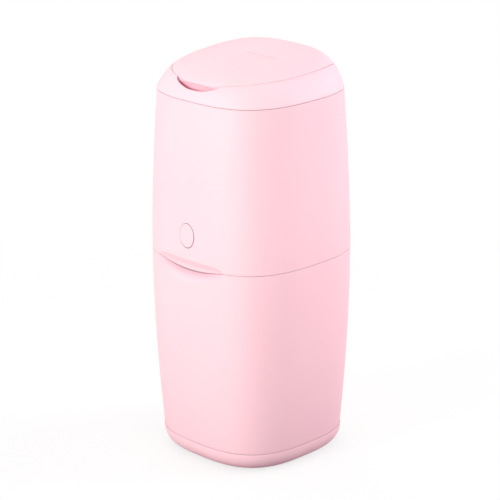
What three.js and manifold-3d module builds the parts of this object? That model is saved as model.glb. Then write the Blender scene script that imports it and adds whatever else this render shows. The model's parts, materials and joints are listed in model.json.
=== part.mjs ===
// A nappy bin: a barrel-sided lower bin, an upper housing that tilts back on a rear hinge,
// a domed top with a hinged lid, and the film cassette, clamp and latch that it holds inside.
// Millimetres. X is to the right, Y to the back and Z up; the front faces -Y.
// The origin is on the floor, in the middle of the footprint.
import * as THREE from "three";
import { mergeVertices } from "three/addons/utils/BufferGeometryUtils.js";
import Module from "manifold-3d";

const wasm = await Module();
wasm.setup();

// Driving dimensions of the shells
const SECTION_POWER = 2.86; // the plan is |x/a|^n + |y/a|^n = 1, a square with soft corners
const SIDES = 48; // corners round the plan of a shell
const ROUND_SIDES = 32; // corners round the cassette and what holds it
const WALL = 3;
const GAP = 0.3; // between pieces that rest on each other
const WIDEST = { half: 120.3, z: 290 };
const FOOT_SEAM = { half: 108.9, z: 26.6 };
const MID_SEAM_Z = 283.5;
const TOP_SEAM = { half: 111.5, z: 503.3 };
const LOWER_BULGE_POWER = 2; // how the sides curve from the widest height to the foot
const UPPER_BULGE_POWER = 1.55; // and from there to the top seam

// The domed head: height over the top seam, its tilt up to the back, and its edge curve
const DOME_RISE = 46.24;
const DOME_TILT = 0.084;
const DOME_POWER = 6.018;
const DOME_EDGE_POWER = 1 / 1.216;
const LID_SKIN = 3.2;
const ABOVE = 600; // a height over everything, for cuts that go right through

// The lid's outline in plan, and what stands under it
const LID = { halfX: 94, halfY: 103, power: 2.6, centreY: 3.8 };
const LID_GAP = 0.5;
const SWING_ROOM = 1; // more gap behind the lid, where its corners swing back as it opens
const LIP_BOTTOM = 516.5;
const SKIRT = { inset: 1, thick: 2.5, bottom: 508.9 };
const LEDGE_TOP = 506;
const MOUTH_RADIUS = 87;

// Finger scoop across the front of the mid seam
const SCOOP = { halfWidth: 60, depth: 8.5, above: 17, below: 5 };
const SEAM_DIP = { halfWidth: 58, depth: 8.5, power: 1.5 };

// Release button and the latch that it works
const BUTTON = { halfX: 13, halfZ: 17, z: 324, gap: 0.4, flange: 1.5 };
const LATCH_PIVOT = { y: -99, z: 370, radius: 2, barrel: 5 };
const LEVER = { front: -101, back: -97, bottom: 252, halfWidth: 8, hook: 3.5 };
const KEEPER = { wallFace: -116, bottom: 236, shelfTop: 262, thick: 3, edge: -106, halfWidth: 14 };
const BRACKET = { inner: 17.5, outer: 20, back: -83.5, front: -109.7, top: 380, thick: 2.5 };
const BRACKET_SCREW = { x: 27, z: 366 };

// Hinges: the upper housing's, behind the mid seam, and the lid's, behind the lid
const BODY_HINGE = { y: 125, z: MID_SEAM_Z, knuckle: 4.2, pin: 2, halfWidth: 45, web: 8 };
const LID_HINGE = { y: 109.5, z: 523.5, knuckle: 4, pin: 1.6, halfWidth: 34 };
const LOWER_KNUCKLES = [
  [-45, -28.7],
  [-7.9, 7.9],
  [28.7, 45],
];
const UPPER_KNUCKLES = [
  [-28.3, -8.3],
  [8.3, 28.3],
];
const COLLAR_KNUCKLES = [
  [-34, -20],
  [20, 34],
];
const LID_KNUCKLE = [-19.6, 19.6];

// The film cassette and the tray that it stands in
const TRAY = {
  bottom: 436.7,
  thick: 3,
  bore: 60,
  throatDrop: 8,
  wallInner: 85,
  wallThick: 2.5,
  wallHeight: 12,
};
const CASSETTE = { bottom: 440, top: 492, inner: 62.5, outer: 84.2, wall: 1.8 };
const POST = 76; // X and Y of the corner posts
const CORNER_WEB = { near: 62, far: 122, bottom: 488, top: 491 };

// The clamp that holds the film shut under the cassette
const CLAMP = {
  plateBottom: 392,
  thick: 3,
  halfX: 88,
  halfY: 66,
  openX: 42,
  openY: 39,
  cornerPower: 8,
};
const CLAMP_POST = { x: 74, y: 59 };
const ROD = { y: 46, z: 404, radius: 2.5, halfLength: 83.8 };
const JAW = { inner: 3.1, outer: 34, halfY: 52, bottom: 398, top: 417 };
const JAW_SPRING = { z: 406, radius: 4.2, wire: 0.6, curls: 7, spigot: 2.4 };
const END_WALL = { inner: 82, outer: 85, halfY: 12, top: 416 };

// The film cutter on the lower bin's right wall: the blade stands in a slot under a throat
const CUTTER = {
  front: 104,
  back: 115.8,
  low: 245,
  high: 272,
  slot: [110, 111.4],
  slotBottom: 246.5,
  throat: 254,
  halfWidth: 14,
};

// The base
const PLINTH = { half: 109.7, bottomHalf: 90, top: 26.3, floor: 4, roundHeight: 24 };
const BASE_SCREW_AT = 45;
const FOOT_PAD = { at: 60, radius: 8.5, thick: 1.8 };

// The screws, and their holes and bosses
const SCREW = { head: 3.5, headHeight: 2.2, shank: 1.4 };
const CLEAR_HOLE = 2;
const PILOT_HOLE = 1.8;
const BOSS = 5;

// Half the width of the body at a height: a barrel, widest a little over the mid seam
function halfWidth(z) {
  const below = z < WIDEST.z;
  const end = below ? FOOT_SEAM : TOP_SEAM;
  const power = below ? LOWER_BULGE_POWER : UPPER_BULGE_POWER;
  const share = Math.abs((z - WIDEST.z) / (end.z - WIDEST.z));
  return WIDEST.half - (WIDEST.half - end.half) * share ** power;
}

const signedPower = (value, power) => Math.sign(value) * Math.abs(value) ** power;

// How far the front face stands from the axis, at a distance x from the middle
const faceDepth = (x, half) =>
  half * (1 - Math.abs(x / half) ** SECTION_POWER) ** (1 / SECTION_POWER);

// How far the mid seam dips under its own height at the front, where the scoop crosses it
function seamDip(x) {
  const share = Math.min(1, Math.abs(x) / SEAM_DIP.halfWidth);
  return SEAM_DIP.depth * (1 - share * share) ** SEAM_DIP.power;
}

// Moves each vertex of a geometry by a function of its place
function reshape(geometry, move) {
  const position = geometry.attributes.position;
  const point = new THREE.Vector3();
  for (let i = 0; i < position.count; i++) {
    point.fromBufferAttribute(position, i);
    move(point);
    position.setXYZ(i, point.x, point.y, point.z);
  }
  return geometry;
}

// A closed solid of a geometry, ready to be joined or cut
function solid(geometry) {
  const bare = geometry.clone();
  bare.deleteAttribute("normal");
  bare.deleteAttribute("uv");
  const merged = mergeVertices(bare, 1e-4);
  const corners = merged.index.array;
  const kept = [];
  for (let i = 0; i < corners.length; i += 3) {
    const [a, b, c] = corners.slice(i, i + 3);
    if (a !== b && b !== c && c !== a) kept.push(a, b, c);
  }
  const mesh = new wasm.Mesh({
    numProp: 3,
    vertProperties: merged.attributes.position.array,
    triVerts: new Uint32Array(kept),
  });
  return new wasm.Manifold(mesh);
}

// The geometry of a solid
function geometryOf(shape) {
  const mesh = shape.getMesh();
  const geometry = new THREE.BufferGeometry();
  geometry.setAttribute("position", new THREE.BufferAttribute(mesh.vertProperties, 3));
  geometry.setIndex(new THREE.BufferAttribute(mesh.triVerts, 1));
  geometry.computeVertexNormals();
  return geometry;
}

// A profile of [radius, height] points turned about Z, as a round solid
function turned(profile, sides = ROUND_SIDES) {
  const points = profile.map(([radius, z]) => new THREE.Vector2(radius, z));
  return new THREE.LatheGeometry(points, sides).rotateX(Math.PI / 2);
}

// The same, with each ring pulled out to the body's soft square
function squared(profile) {
  return reshape(turned(profile, SIDES), (point) => {
    const radius = Math.hypot(point.x, point.y);
    if (radius === 0) return;
    const power = 2 / SECTION_POWER;
    point.x = radius * signedPower(point.x / radius, power);
    point.y = radius * signedPower(point.y / radius, power);
  });
}

// A block between two corners
function block([x0, y0, z0], [x1, y1, z1]) {
  const size = new THREE.BoxGeometry(x1 - x0, y1 - y0, z1 - z0);
  return size.translate((x0 + x1) / 2, (y0 + y1) / 2, (z0 + z1) / 2);
}

// Round bars along each axis, from one end to the other
function barX(radius, x0, x1, y, z, sides = 12) {
  const bar = new THREE.CylinderGeometry(radius, radius, x1 - x0, sides).rotateZ(Math.PI / 2);
  return bar.translate((x0 + x1) / 2, y, z);
}

function barY(radius, y0, y1, x, z, sides = 12) {
  return new THREE.CylinderGeometry(radius, radius, y1 - y0, sides).translate(x, (y0 + y1) / 2, z);
}

function barZ(radius, z0, z1, x, y, sides = 12) {
  const bar = new THREE.CylinderGeometry(radius, radius, z1 - z0, sides).rotateX(Math.PI / 2);
  return bar.translate(x, y, (z0 + z1) / 2);
}

// The radius at which a bore's flats stand a running clearance off a pin
const boreFor = (pin, sides = 12) => (pin + 0.06) / Math.cos(Math.PI / sides);

const outline = (points) => new THREE.Shape(points.map(([x, y]) => new THREE.Vector2(x, y)));

// An oval outline: power 2 is an ellipse, and a higher one is squarer
function oval(halfX, halfY, power = 2, centreY = 0, sides = 32) {
  const points = [];
  for (let i = 0; i < sides; i++) {
    const angle = (2 * Math.PI * i) / sides;
    const x = halfX * signedPower(Math.cos(angle), 2 / power);
    const y = halfY * signedPower(Math.sin(angle), 2 / power);
    points.push([x, centreY + y]);
  }
  return outline(points);
}

// Outlines drawn in plan, from the side and from the front, run out into prisms
function prismZ(shape, z0, z1) {
  return new THREE.ExtrudeGeometry(shape, { depth: z1 - z0, bevelEnabled: false }).translate(0, 0, z0);
}

function prismX(shape, x0, x1) {
  const prism = new THREE.ExtrudeGeometry(shape, { depth: x1 - x0, bevelEnabled: false });
  return prism.rotateX(Math.PI / 2).rotateZ(Math.PI / 2).translate(x0, 0, 0);
}

function prismY(shape, y0, y1) {
  const prism = new THREE.ExtrudeGeometry(shape, { depth: y1 - y0, bevelEnabled: false });
  return prism.rotateX(Math.PI / 2).translate(0, y1, 0);
}

const joined = (...geometries) => geometries.map(solid).reduce((all, next) => all.add(next));

const mirroredPairs = (at) => [
  [-at, -at],
  [at, -at],
  [-at, at],
  [at, at],
];

// A pan-head screw that points up, with its head's face at the height 0
function screw(length, headHeight = SCREW.headHeight) {
  const profile = [
    [0, 0],
    [SCREW.head, 0],
    [SCREW.head, headHeight],
    [SCREW.shank, headHeight],
    [SCREW.shank, length],
    [0, length],
  ];
  return turned(profile, 8);
}

// A compression spring along Z, from height 0 to its length
class Helix extends THREE.Curve {
  constructor(radius, length, curls) {
    super();
    Object.assign(this, { radius, length, curls });
  }

  getPoint(share, target = new THREE.Vector3()) {
    const angle = 2 * Math.PI * this.curls * share;
    const { radius, length } = this;
    return target.set(radius * Math.cos(angle), radius * Math.sin(angle), length * share);
  }
}

function spring(radius, wire, length, curls) {
  const stepsPerCurl = 6;
  const ends = 2 * wire;
  const path = new Helix(radius, length - ends, curls);
  const section = oval(wire, wire, 2, 0, 4);
  const coil = new THREE.ExtrudeGeometry(section, { steps: curls * stepsPerCurl, extrudePath: path });
  return coil.translate(0, 0, wire);
}

// The seam at the foot of a shell follows the dip at the front
function dipped(geometry, seamZ) {
  return reshape(geometry, (point) => {
    const onFrontOfSeam = Math.abs(point.z - seamZ) < 0.01 && point.y < -WIDEST.half / 2;
    if (onFrontOfSeam) point.z -= seamDip(point.x);
  });
}

// The scoop's hollow, made from a ball: it follows the front face and the seam's dip.
// With a margin it is the thicker wall behind the scoop.
function scoop(margin = 0) {
  const ball = new THREE.SphereGeometry(1, 16, 12).rotateZ(Math.PI / 2);
  return reshape(ball, (point) => {
    const x = point.x * (SCOOP.halfWidth + margin);
    const reach = point.z > 0 ? SCOOP.above + margin : SCOOP.below + margin;
    point.y = point.y * (SCOOP.depth + margin) - faceDepth(x, WIDEST.half);
    point.z = MID_SEAM_Z - seamDip(x) + point.z * reach;
    point.x = x;
  });
}

// Rings of a shell's side between two heights, in or out from the outer face
function sideRings(from, to, count, inset) {
  const rings = [];
  for (let i = 0; i <= count; i++) {
    const z = from + ((to - from) * i) / count;
    rings.push([halfWidth(z) - inset, z]);
  }
  return rings;
}

function sideVolume(from, to, count, inset = 0) {
  return squared([[0, from], ...sideRings(from, to, count, inset), [0, to]]);
}

// Height of the dome's edge curve, from 0 at the seam to 1 in the middle
const domeShare = (ratio) => (1 - ratio ** DOME_POWER) ** DOME_EDGE_POWER;

// Rings of the head's outer and inner surface, as shares of its radius
const OUTER_RINGS = [0.995, 0.98, 0.95, 0.91, 0.85, 0.76, 0.62, 0.4, 0];
const INNER_RINGS = [0.99, 0.96, 0.9, 0.78, 0.5, 0];

// The whole head as one solid, down to the top seam, through such rings
function head(ratios) {
  const bottom = TOP_SEAM.z + GAP;
  const rings = ratios.map((ratio) => [TOP_SEAM.half * ratio, TOP_SEAM.z + DOME_RISE * domeShare(ratio)]);
  const profile = [[0, bottom], [TOP_SEAM.half * 0.9995, bottom], ...rings];
  return reshape(squared(profile), (point) => {
    const share = (point.z - TOP_SEAM.z) / DOME_RISE;
    if (point.z > bottom) point.z += DOME_TILT * point.y * share;
  });
}

const lidOutline = (inset) =>
  oval(LID.halfX - inset, LID.halfY - inset, LID.power, LID.centreY, SIDES);

// The hole that the lid lies in
function lidHole() {
  const halfY = LID.halfY + LID_GAP + SWING_ROOM / 2;
  return oval(LID.halfX + LID_GAP, halfY, LID.power, LID.centreY + SWING_ROOM / 2, SIDES);
}

// A ring under the lid's edge, between two insets from its outline
function ringUnderLid(insetOuter, insetInner, z0, z1) {
  const outer = solid(prismZ(lidOutline(insetOuter), z0, z1));
  return outer.subtract(solid(prismZ(lidOutline(insetInner), z0 - 1, z1 + 1)));
}

// The thumb notch in the collar, which follows the lid's front edge
function thumbNotch() {
  const notch = { halfWidth: 49, out: 11.7, down: 11, edgeZ: 524.6, edgeRise: 3.4 };
  const ball = new THREE.SphereGeometry(1, 16, 12).rotateZ(Math.PI / 2);
  return reshape(ball, (point) => {
    const x = point.x * notch.halfWidth;
    const edge = LID.halfY * (1 - Math.abs(x / LID.halfX) ** LID.power) ** (1 / LID.power);
    point.y = LID.centreY - edge + point.y * notch.out;
    point.z = notch.edgeZ + notch.edgeRise * point.x * point.x + point.z * notch.down;
    point.x = x;
  });
}

// A hollow under the lid's front lip, for the fingertip that lifts it
function lipUndercut() {
  const ball = new THREE.SphereGeometry(1, 12, 8).rotateZ(Math.PI / 2);
  return ball.scale(36, 3.2, 6.5).translate(0, LID.centreY - LID.halfY, 511);
}

function basePlinth() {
  const curve = (half, foot, height, z0, steps) => {
    const points = [];
    for (let i = 0; i <= steps; i++) {
      const angle = (Math.PI / 2) * (i / steps);
      points.push([foot + (half - foot) * Math.sin(angle), z0 + height * (1 - Math.cos(angle))]);
    }
    return points;
  };
  const rim = 3.2;
  const outer = curve(PLINTH.half, PLINTH.bottomHalf, PLINTH.roundHeight, 0, 4);
  const innerRise = PLINTH.roundHeight - PLINTH.floor;
  const inner = curve(PLINTH.half - rim, PLINTH.bottomHalf - rim, innerRise, PLINTH.floor, 2);
  const profile = [
    [0, 0],
    ...outer,
    [PLINTH.half, PLINTH.top],
    [PLINTH.half - rim, PLINTH.top],
    ...inner.reverse(),
    [0, PLINTH.floor],
  ];
  let plinth = solid(squared(profile));
  for (const [x, y] of mirroredPairs(FOOT_PAD.at)) {
    plinth = plinth.subtract(solid(barZ(FOOT_PAD.radius + GAP, -1, FOOT_PAD.thick + GAP, x, y)));
  }
  const counterbore = { radius: 4.4, depth: 2.4 };
  for (const [x, y] of mirroredPairs(BASE_SCREW_AT)) {
    plinth = plinth.subtract(solid(barZ(counterbore.radius, -1, counterbore.depth, x, y)));
    plinth = plinth.subtract(solid(barZ(CLEAR_HOLE, 0, PLINTH.floor + 1, x, y)));
  }
  return geometryOf(plinth);
}

// Knuckles of the body hinge, each with a web to the wall above or below the seam
function bodyKnuckles(spans, webBottom, webTop) {
  const { y, z, knuckle } = BODY_HINGE;
  const pieces = spans.flatMap(([x0, x1]) => [
    barX(knuckle, x0, x1, y, z, 16),
    block([x0, halfWidth(z) - 4, webBottom], [x1, y, webTop]),
  ]);
  return joined(...pieces);
}

function bodyHingeBore() {
  const { y, z, pin, halfWidth: reach } = BODY_HINGE;
  return solid(barX(boreFor(pin), -reach - 2, reach + 2, y, z));
}

function lowerBin() {
  const bottom = FOOT_SEAM.z + GAP;
  const top = MID_SEAM_Z - GAP / 2;
  const volume = solid(dipped(sideVolume(bottom, top, 5), top));
  const floorThick = 3.5;
  const cavity = solid(sideVolume(bottom + floorThick, MID_SEAM_Z + 1, 4, WALL));
  const knuckles = bodyKnuckles(LOWER_KNUCKLES, MID_SEAM_Z - BODY_HINGE.web, top);
  let bin = volume.add(knuckles).subtract(cavity);

  // A tongue that stands up inside the upper housing, left out behind the scoop
  const tongue = { root: 118.4, outer: 116.7, inner: 114.6, bottom: 275, top: 288 };
  const tongueProfile = [
    [tongue.root, tongue.bottom],
    [tongue.outer, MID_SEAM_Z],
    [tongue.outer, tongue.top],
    [tongue.inner, tongue.top],
    [tongue.inner, tongue.bottom + 2],
    [tongue.root, tongue.bottom],
  ];
  const cleared = SCOOP.halfWidth + 8;
  const frontOfTongue = block([-cleared, -130, tongue.bottom - 5], [cleared, -90, tongue.top + 2]);
  bin = bin.add(solid(squared(tongueProfile)).subtract(solid(frontOfTongue)));

  // The thicker wall behind the scoop, then the scoop itself
  bin = bin.add(solid(scoop(WALL)).intersect(volume)).subtract(solid(scoop()));

  // Flat pads for the latch keeper and the film cutter
  const inWall = 118.5;
  const { halfWidth: keeperHalf, wallFace, bottom: keeperBottom, shelfTop } = KEEPER;
  const keeperPad = block([-keeperHalf, -inWall, keeperBottom], [keeperHalf, wallFace - GAP, shelfTop]);
  const { back, low, high, halfWidth: cutterHalf } = CUTTER;
  const cutterPad = block([back + GAP, -cutterHalf - 1, low], [inWall, cutterHalf + 1, high]);
  bin = bin.add(joined(keeperPad, cutterPad));

  // Bosses down to the plinth's floor
  for (const [x, y] of mirroredPairs(BASE_SCREW_AT)) {
    bin = bin.add(solid(barZ(BOSS, PLINTH.floor + GAP, bottom + 1, x, y)));
    bin = bin.subtract(solid(barZ(PILOT_HOLE, PLINTH.floor - 1, PLINTH.floor + 14, x, y)));
  }
  return geometryOf(bin.subtract(bodyHingeBore()));
}

function latchKeeper() {
  const { wallFace, bottom, shelfTop, thick, edge, halfWidth: half } = KEEPER;
  const plateBack = wallFace + 2;
  const shape = outline([
    [wallFace, bottom],
    [plateBack, bottom],
    [plateBack, shelfTop - thick],
    [edge, shelfTop - thick],
    [edge, shelfTop],
    [wallFace, shelfTop],
  ]);
  return prismX(shape, -half, half);
}

// The film cutter: a block with a throat that leads the film down to a blade
function cutterHousing() {
  const { front, back, low, high, slot, slotBottom, throat, halfWidth: half } = CUTTER;
  const shape = outline([
    [front, low + 3],
    [front + 3, low],
    [back, low],
    [back, high],
    [back - 1.3, high],
    [slot[1], throat],
    [slot[1], slotBottom],
    [slot[0], slotBottom],
    [slot[0], throat],
    [front + 2.5, high - 2],
    [front, high - 6],
  ]);
  return prismY(shape, -half, half);
}

function cutterBlade() {
  const { slot, slotBottom, throat, halfWidth: half } = CUTTER;
  return block([slot[0] + 0.4, 2 - half, slotBottom + 0.4], [slot[1] - 0.4, half - 2, throat + 2]);
}

// Posts for the tray's screws stand off the corners of the upper housing on ribs
function cornerPosts(volume) {
  const post = { radius: 6, bottom: 410, top: TRAY.bottom - GAP };
  const reach = { length: 28, outward: 9 };
  let posts = null;
  for (const [x, y] of mirroredPairs(POST)) {
    const rib = new THREE.BoxGeometry(reach.length, WALL, post.top - post.bottom);
    const [ribX, ribY] = [x + Math.sign(x) * reach.outward, y + Math.sign(y) * reach.outward];
    rib.rotateZ(Math.atan2(y, x)).translate(ribX, ribY, (post.top + post.bottom) / 2);
    let one = joined(barZ(post.radius, post.bottom, post.top, x, y), rib);
    one = one.subtract(solid(barZ(PILOT_HOLE, post.top - 14, post.top + 1, x, y)));
    posts = posts ? posts.add(one) : one;
  }
  return posts.intersect(volume);
}

// Webs across the corners carry the collar's screws
function cornerWebs(volume) {
  const { near, far, bottom, top } = CORNER_WEB;
  let webs = null;
  for (const [x, y] of mirroredPairs(POST)) {
    const span = (at) => (at < 0 ? [-far, -near] : [near, far]);
    const [[x0, x1], [y0, y1]] = [span(x), span(y)];
    const hole = solid(barZ(CLEAR_HOLE, bottom - 1, top + 1, x, y));
    const web = solid(block([x0, y0, bottom], [x1, y1, top])).subtract(hole);
    webs = webs ? webs.add(web) : web;
  }
  const cassetteWay = solid(barZ(MOUTH_RADIUS + 2, bottom - 1, top + 1, 0, 0, ROUND_SIDES));
  return webs.intersect(volume).subtract(cassetteWay);
}

function upperHousing() {
  const bottom = MID_SEAM_Z + GAP / 2;
  const top = TOP_SEAM.z;
  const volume = solid(dipped(sideVolume(bottom, top, 5), bottom));
  const cavity = solid(sideVolume(bottom - 2 * SEAM_DIP.depth, top + 1, 5, WALL));
  const knuckles = bodyKnuckles(UPPER_KNUCKLES, bottom, MID_SEAM_Z + BODY_HINGE.web);
  let housing = volume.add(knuckles).subtract(cavity);
  housing = housing.add(cornerPosts(volume)).add(cornerWebs(volume));

  // The wall behind the scoop reaches over the seam, then the scoop itself
  const behindScoop = solid(scoop(WALL)).intersect(volume);
  housing = housing.add(behindScoop).subtract(solid(scoop()));

  // The button's sleeve and hole
  const { halfX, halfZ, z, gap, flange } = BUTTON;
  const sleeve = { front: -117.5, seat: -116.6, back: -108, thick: 1.6 };
  const [boreX, boreZ] = [halfX + flange + gap, halfZ + flange + gap];
  const tubeShape = oval(boreX + sleeve.thick, boreZ + sleeve.thick, 2, z, 20);
  const tube = prismY(tubeShape, sleeve.front, sleeve.back);
  const sleeveBore = prismY(oval(boreX, boreZ, 2, z, 20), sleeve.seat, sleeve.back + 1);
  const hole = prismY(oval(halfX + gap, halfZ + gap, 2, z, 28), -WIDEST.half - 5, sleeve.back - 2);
  housing = housing.add(solid(tube)).subtract(solid(sleeveBore)).subtract(solid(hole));

  // Bosses for the latch bracket's screws
  const boss = { radius: 4, root: -116.5, bottom: -115 };
  for (const x of [-BRACKET_SCREW.x, BRACKET_SCREW.x]) {
    const bar = solid(barY(boss.radius, boss.root, BRACKET.front - GAP, x, BRACKET_SCREW.z));
    const pilot = solid(barY(PILOT_HOLE, boss.bottom, BRACKET.front + 1, x, BRACKET_SCREW.z));
    housing = housing.add(bar.subtract(pilot));
  }
  return geometryOf(housing.subtract(bodyHingeBore()));
}

function lidKnuckle(x0, x1, web) {
  const { y, z, knuckle } = LID_HINGE;
  return joined(barX(knuckle, x0, x1, y, z, 16), web);
}

function lidHingeBore() {
  const { y, z, pin, halfWidth: reach } = LID_HINGE;
  return solid(barX(boreFor(pin), -reach - 2, reach + 2, y, z));
}

function topCollar() {
  let collar = solid(head(OUTER_RINGS));
  collar = collar.subtract(solid(prismZ(lidHole(), LEDGE_TOP, ABOVE)));
  collar = collar.subtract(solid(barZ(MOUTH_RADIUS, CORNER_WEB.top, ABOVE, 0, 0, ROUND_SIDES)));
  const web = { front: 108.6, back: 112.4, bottom: 508 };
  for (const [x0, x1] of COLLAR_KNUCKLES) {
    const carrier = block([x0, web.front, web.bottom], [x1, web.back, LID_HINGE.z]);
    collar = collar.add(lidKnuckle(x0, x1, carrier));
  }
  for (const [x, y] of mirroredPairs(POST)) {
    const foot = CORNER_WEB.top + GAP;
    collar = collar.add(solid(barZ(BOSS, foot, LEDGE_TOP - 1, x, y)));
    collar = collar.subtract(solid(barZ(PILOT_HOLE, foot - 1, LEDGE_TOP - 2, x, y)));
  }
  return geometryOf(collar.subtract(solid(thumbNotch())).subtract(lidHingeBore()));
}

function lidShell() {
  const whole = solid(head(OUTER_RINGS));
  const inside = solid(head(INNER_RINGS).translate(0, 0, -LID_SKIN));
  const skin = whole.intersect(solid(prismZ(lidOutline(0), 500, 600))).subtract(inside);
  const { inset, thick, bottom } = SKIRT;
  const lip = ringUnderLid(0, inset + thick, LIP_BOTTOM, 600).intersect(whole);
  const skirt = ringUnderLid(inset, inset + thick, bottom, LIP_BOTTOM + 1);
  const [x0, x1] = LID_KNUCKLE;
  const webFront = 101;
  const web = block([x0, webFront, LID_HINGE.z], [x1, LID_HINGE.y, LID_HINGE.z + LID_HINGE.knuckle]);
  const rim = lip.add(skirt).subtract(solid(lipUndercut()));
  const lid = skin.add(rim).add(lidKnuckle(x0, x1, web));
  return geometryOf(lid.subtract(lidHingeBore()));
}

function lidSeal() {
  const inset = { outer: 0.7, inner: 4.2 };
  return geometryOf(ringUnderLid(inset.outer, inset.inner, LEDGE_TOP + GAP, SKIRT.bottom - GAP));
}

// The button's cap is cut from the front wall's own curve, so it lies flush
function releaseButton() {
  const { halfX, halfZ, z, flange } = BUTTON;
  const rimFront = -116.1;
  const rimBack = -114.1;
  const front = solid(sideVolume(MID_SEAM_Z + GAP / 2, TOP_SEAM.z, 5));
  const capBar = prismY(oval(halfX, halfZ, 2, z, 28), -WIDEST.half - 5, rimBack - 1);
  const cap = solid(capBar).intersect(front);
  const rim = prismY(oval(halfX + flange, halfZ + flange, 2, z, 20), rimFront, rimBack);
  const tip = LEVER.front - GAP - rimBack;
  const stemProfile = [
    [0, 0],
    [5, 0],
    [5, tip - 1.8],
    [2, tip],
    [0, tip],
  ];
  const stem = turned(stemProfile, 12).rotateX(-Math.PI / 2).translate(0, rimBack, z);
  return geometryOf(cap.add(solid(rim)).add(solid(stem)));
}

function latchBracket() {
  const { inner, outer, back, front, top, thick } = BRACKET;
  const plateBottom = 312;
  const cheekBottom = 350;
  const ear = { reach: 33, bottom: 356, top: 376 };
  const spigot = { radius: 2.2, length: 6 };
  const backPlate = block([-outer, back - thick, plateBottom], [outer, back, top]);
  const springSpigot = barY(spigot.radius, back - spigot.length, back - 1, 0, BUTTON.z);
  let bracket = joined(backPlate, springSpigot);
  for (const side of [-1, 1]) {
    const span = (from, to) => (side > 0 ? [from, to] : [-to, -from]);
    const [[x0, x1], [e0, e1]] = [span(inner, outer), span(inner, ear.reach)];
    const cheek = block([x0, front, cheekBottom], [x1, back, top]);
    const screwEar = block([e0, front, ear.bottom], [e1, front + thick, ear.top]);
    const hole = barY(CLEAR_HOLE, front - 1, front + 4, side * BRACKET_SCREW.x, BRACKET_SCREW.z);
    bracket = bracket.add(joined(cheek, screwEar)).subtract(solid(hole));
  }
  const { y, z, radius } = LATCH_PIVOT;
  return geometryOf(bracket.subtract(solid(barX(boreFor(radius), -outer - 1, outer + 1, y, z))));
}

// The latch hangs from its pivot, behind the button, and hooks under the keeper's shelf
function latchLever() {
  const { front, back, bottom, halfWidth: half, hook } = LEVER;
  const { y, z, radius, barrel } = LATCH_PIVOT;
  const hookTop = KEEPER.shelfTop - KEEPER.thick - 0.5;
  const shape = outline([
    [front, z],
    [front, hookTop],
    [front - hook, hookTop],
    [front - hook, bottom + 3],
    [front, bottom],
    [back, bottom],
    [back, z],
  ]);
  const barrelEnd = BRACKET.inner - GAP;
  const lever = joined(prismX(shape, -half, half), barX(barrel, -barrelEnd, barrelEnd, y, z, 16));
  return geometryOf(lever.subtract(solid(barX(boreFor(radius), -barrelEnd - 1, barrelEnd + 1, y, z))));
}

function cassetteTray() {
  const flat = TRAY.bottom + TRAY.thick;
  const edge = halfWidth(flat) - WALL - 0.5;
  const plate = prismZ(oval(edge, edge, SECTION_POWER, 0, SIDES), TRAY.bottom, flat);
  const { bore, bottom, wallInner, wallThick, wallHeight, throatDrop } = TRAY;
  const rim = ring(wallInner, wallInner + wallThick, flat - 1, flat + wallHeight);
  const throat = barZ(bore + wallThick, bottom - throatDrop, flat - 0.5, 0, 0, ROUND_SIDES);
  let tray = joined(plate, rim, throat);
  tray = tray.subtract(solid(barZ(bore, bottom - throatDrop - 1, flat + 1, 0, 0, ROUND_SIDES)));
  for (const [x, y] of mirroredPairs(POST)) {
    tray = tray.subtract(solid(barZ(CLEAR_HOLE, bottom - 1, flat + 1, x, y)));
  }
  for (const [x, y] of clampPosts()) {
    const foot = CLAMP.plateBottom + CLAMP.thick + GAP;
    tray = tray.add(solid(barZ(BOSS, foot, bottom + 1, x, y)));
    tray = tray.subtract(solid(barZ(PILOT_HOLE, foot - 1, foot + 13, x, y)));
  }
  return geometryOf(tray);
}

function clampPosts() {
  const { x, y } = CLAMP_POST;
  return [
    [-x, -y],
    [x, -y],
    [-x, y],
    [x, y],
  ];
}

function cassetteCase() {
  const { bottom, top, inner, outer, wall } = CASSETTE;
  const profile = [
    [inner, bottom],
    [outer, bottom],
    [outer, top],
    [outer - wall, top],
    [outer - wall, bottom + wall],
    [inner + wall, bottom + wall],
    [inner + wall, top],
    [inner, top],
    [inner, bottom],
  ];
  return turned(profile);
}

// A plain ring between two radii and two heights
function ring(inner, outer, z0, z1) {
  return turned([
    [inner, z0],
    [outer, z0],
    [outer, z1],
    [inner, z1],
    [inner, z0],
  ]);
}

// The cover leaves a slot round the bore, where the film is drawn out
const cassetteCover = () =>
  ring(CASSETTE.inner + 4, CASSETTE.outer + 0.6, CASSETTE.top + GAP, CASSETTE.top + GAP + 2);

const filmPleats = () =>
  ring(
    CASSETTE.inner + CASSETTE.wall + 0.8,
    CASSETTE.outer - CASSETTE.wall - 0.8,
    CASSETTE.bottom + CASSETTE.wall + 0.6,
    CASSETTE.top - 4,
  );

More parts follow.
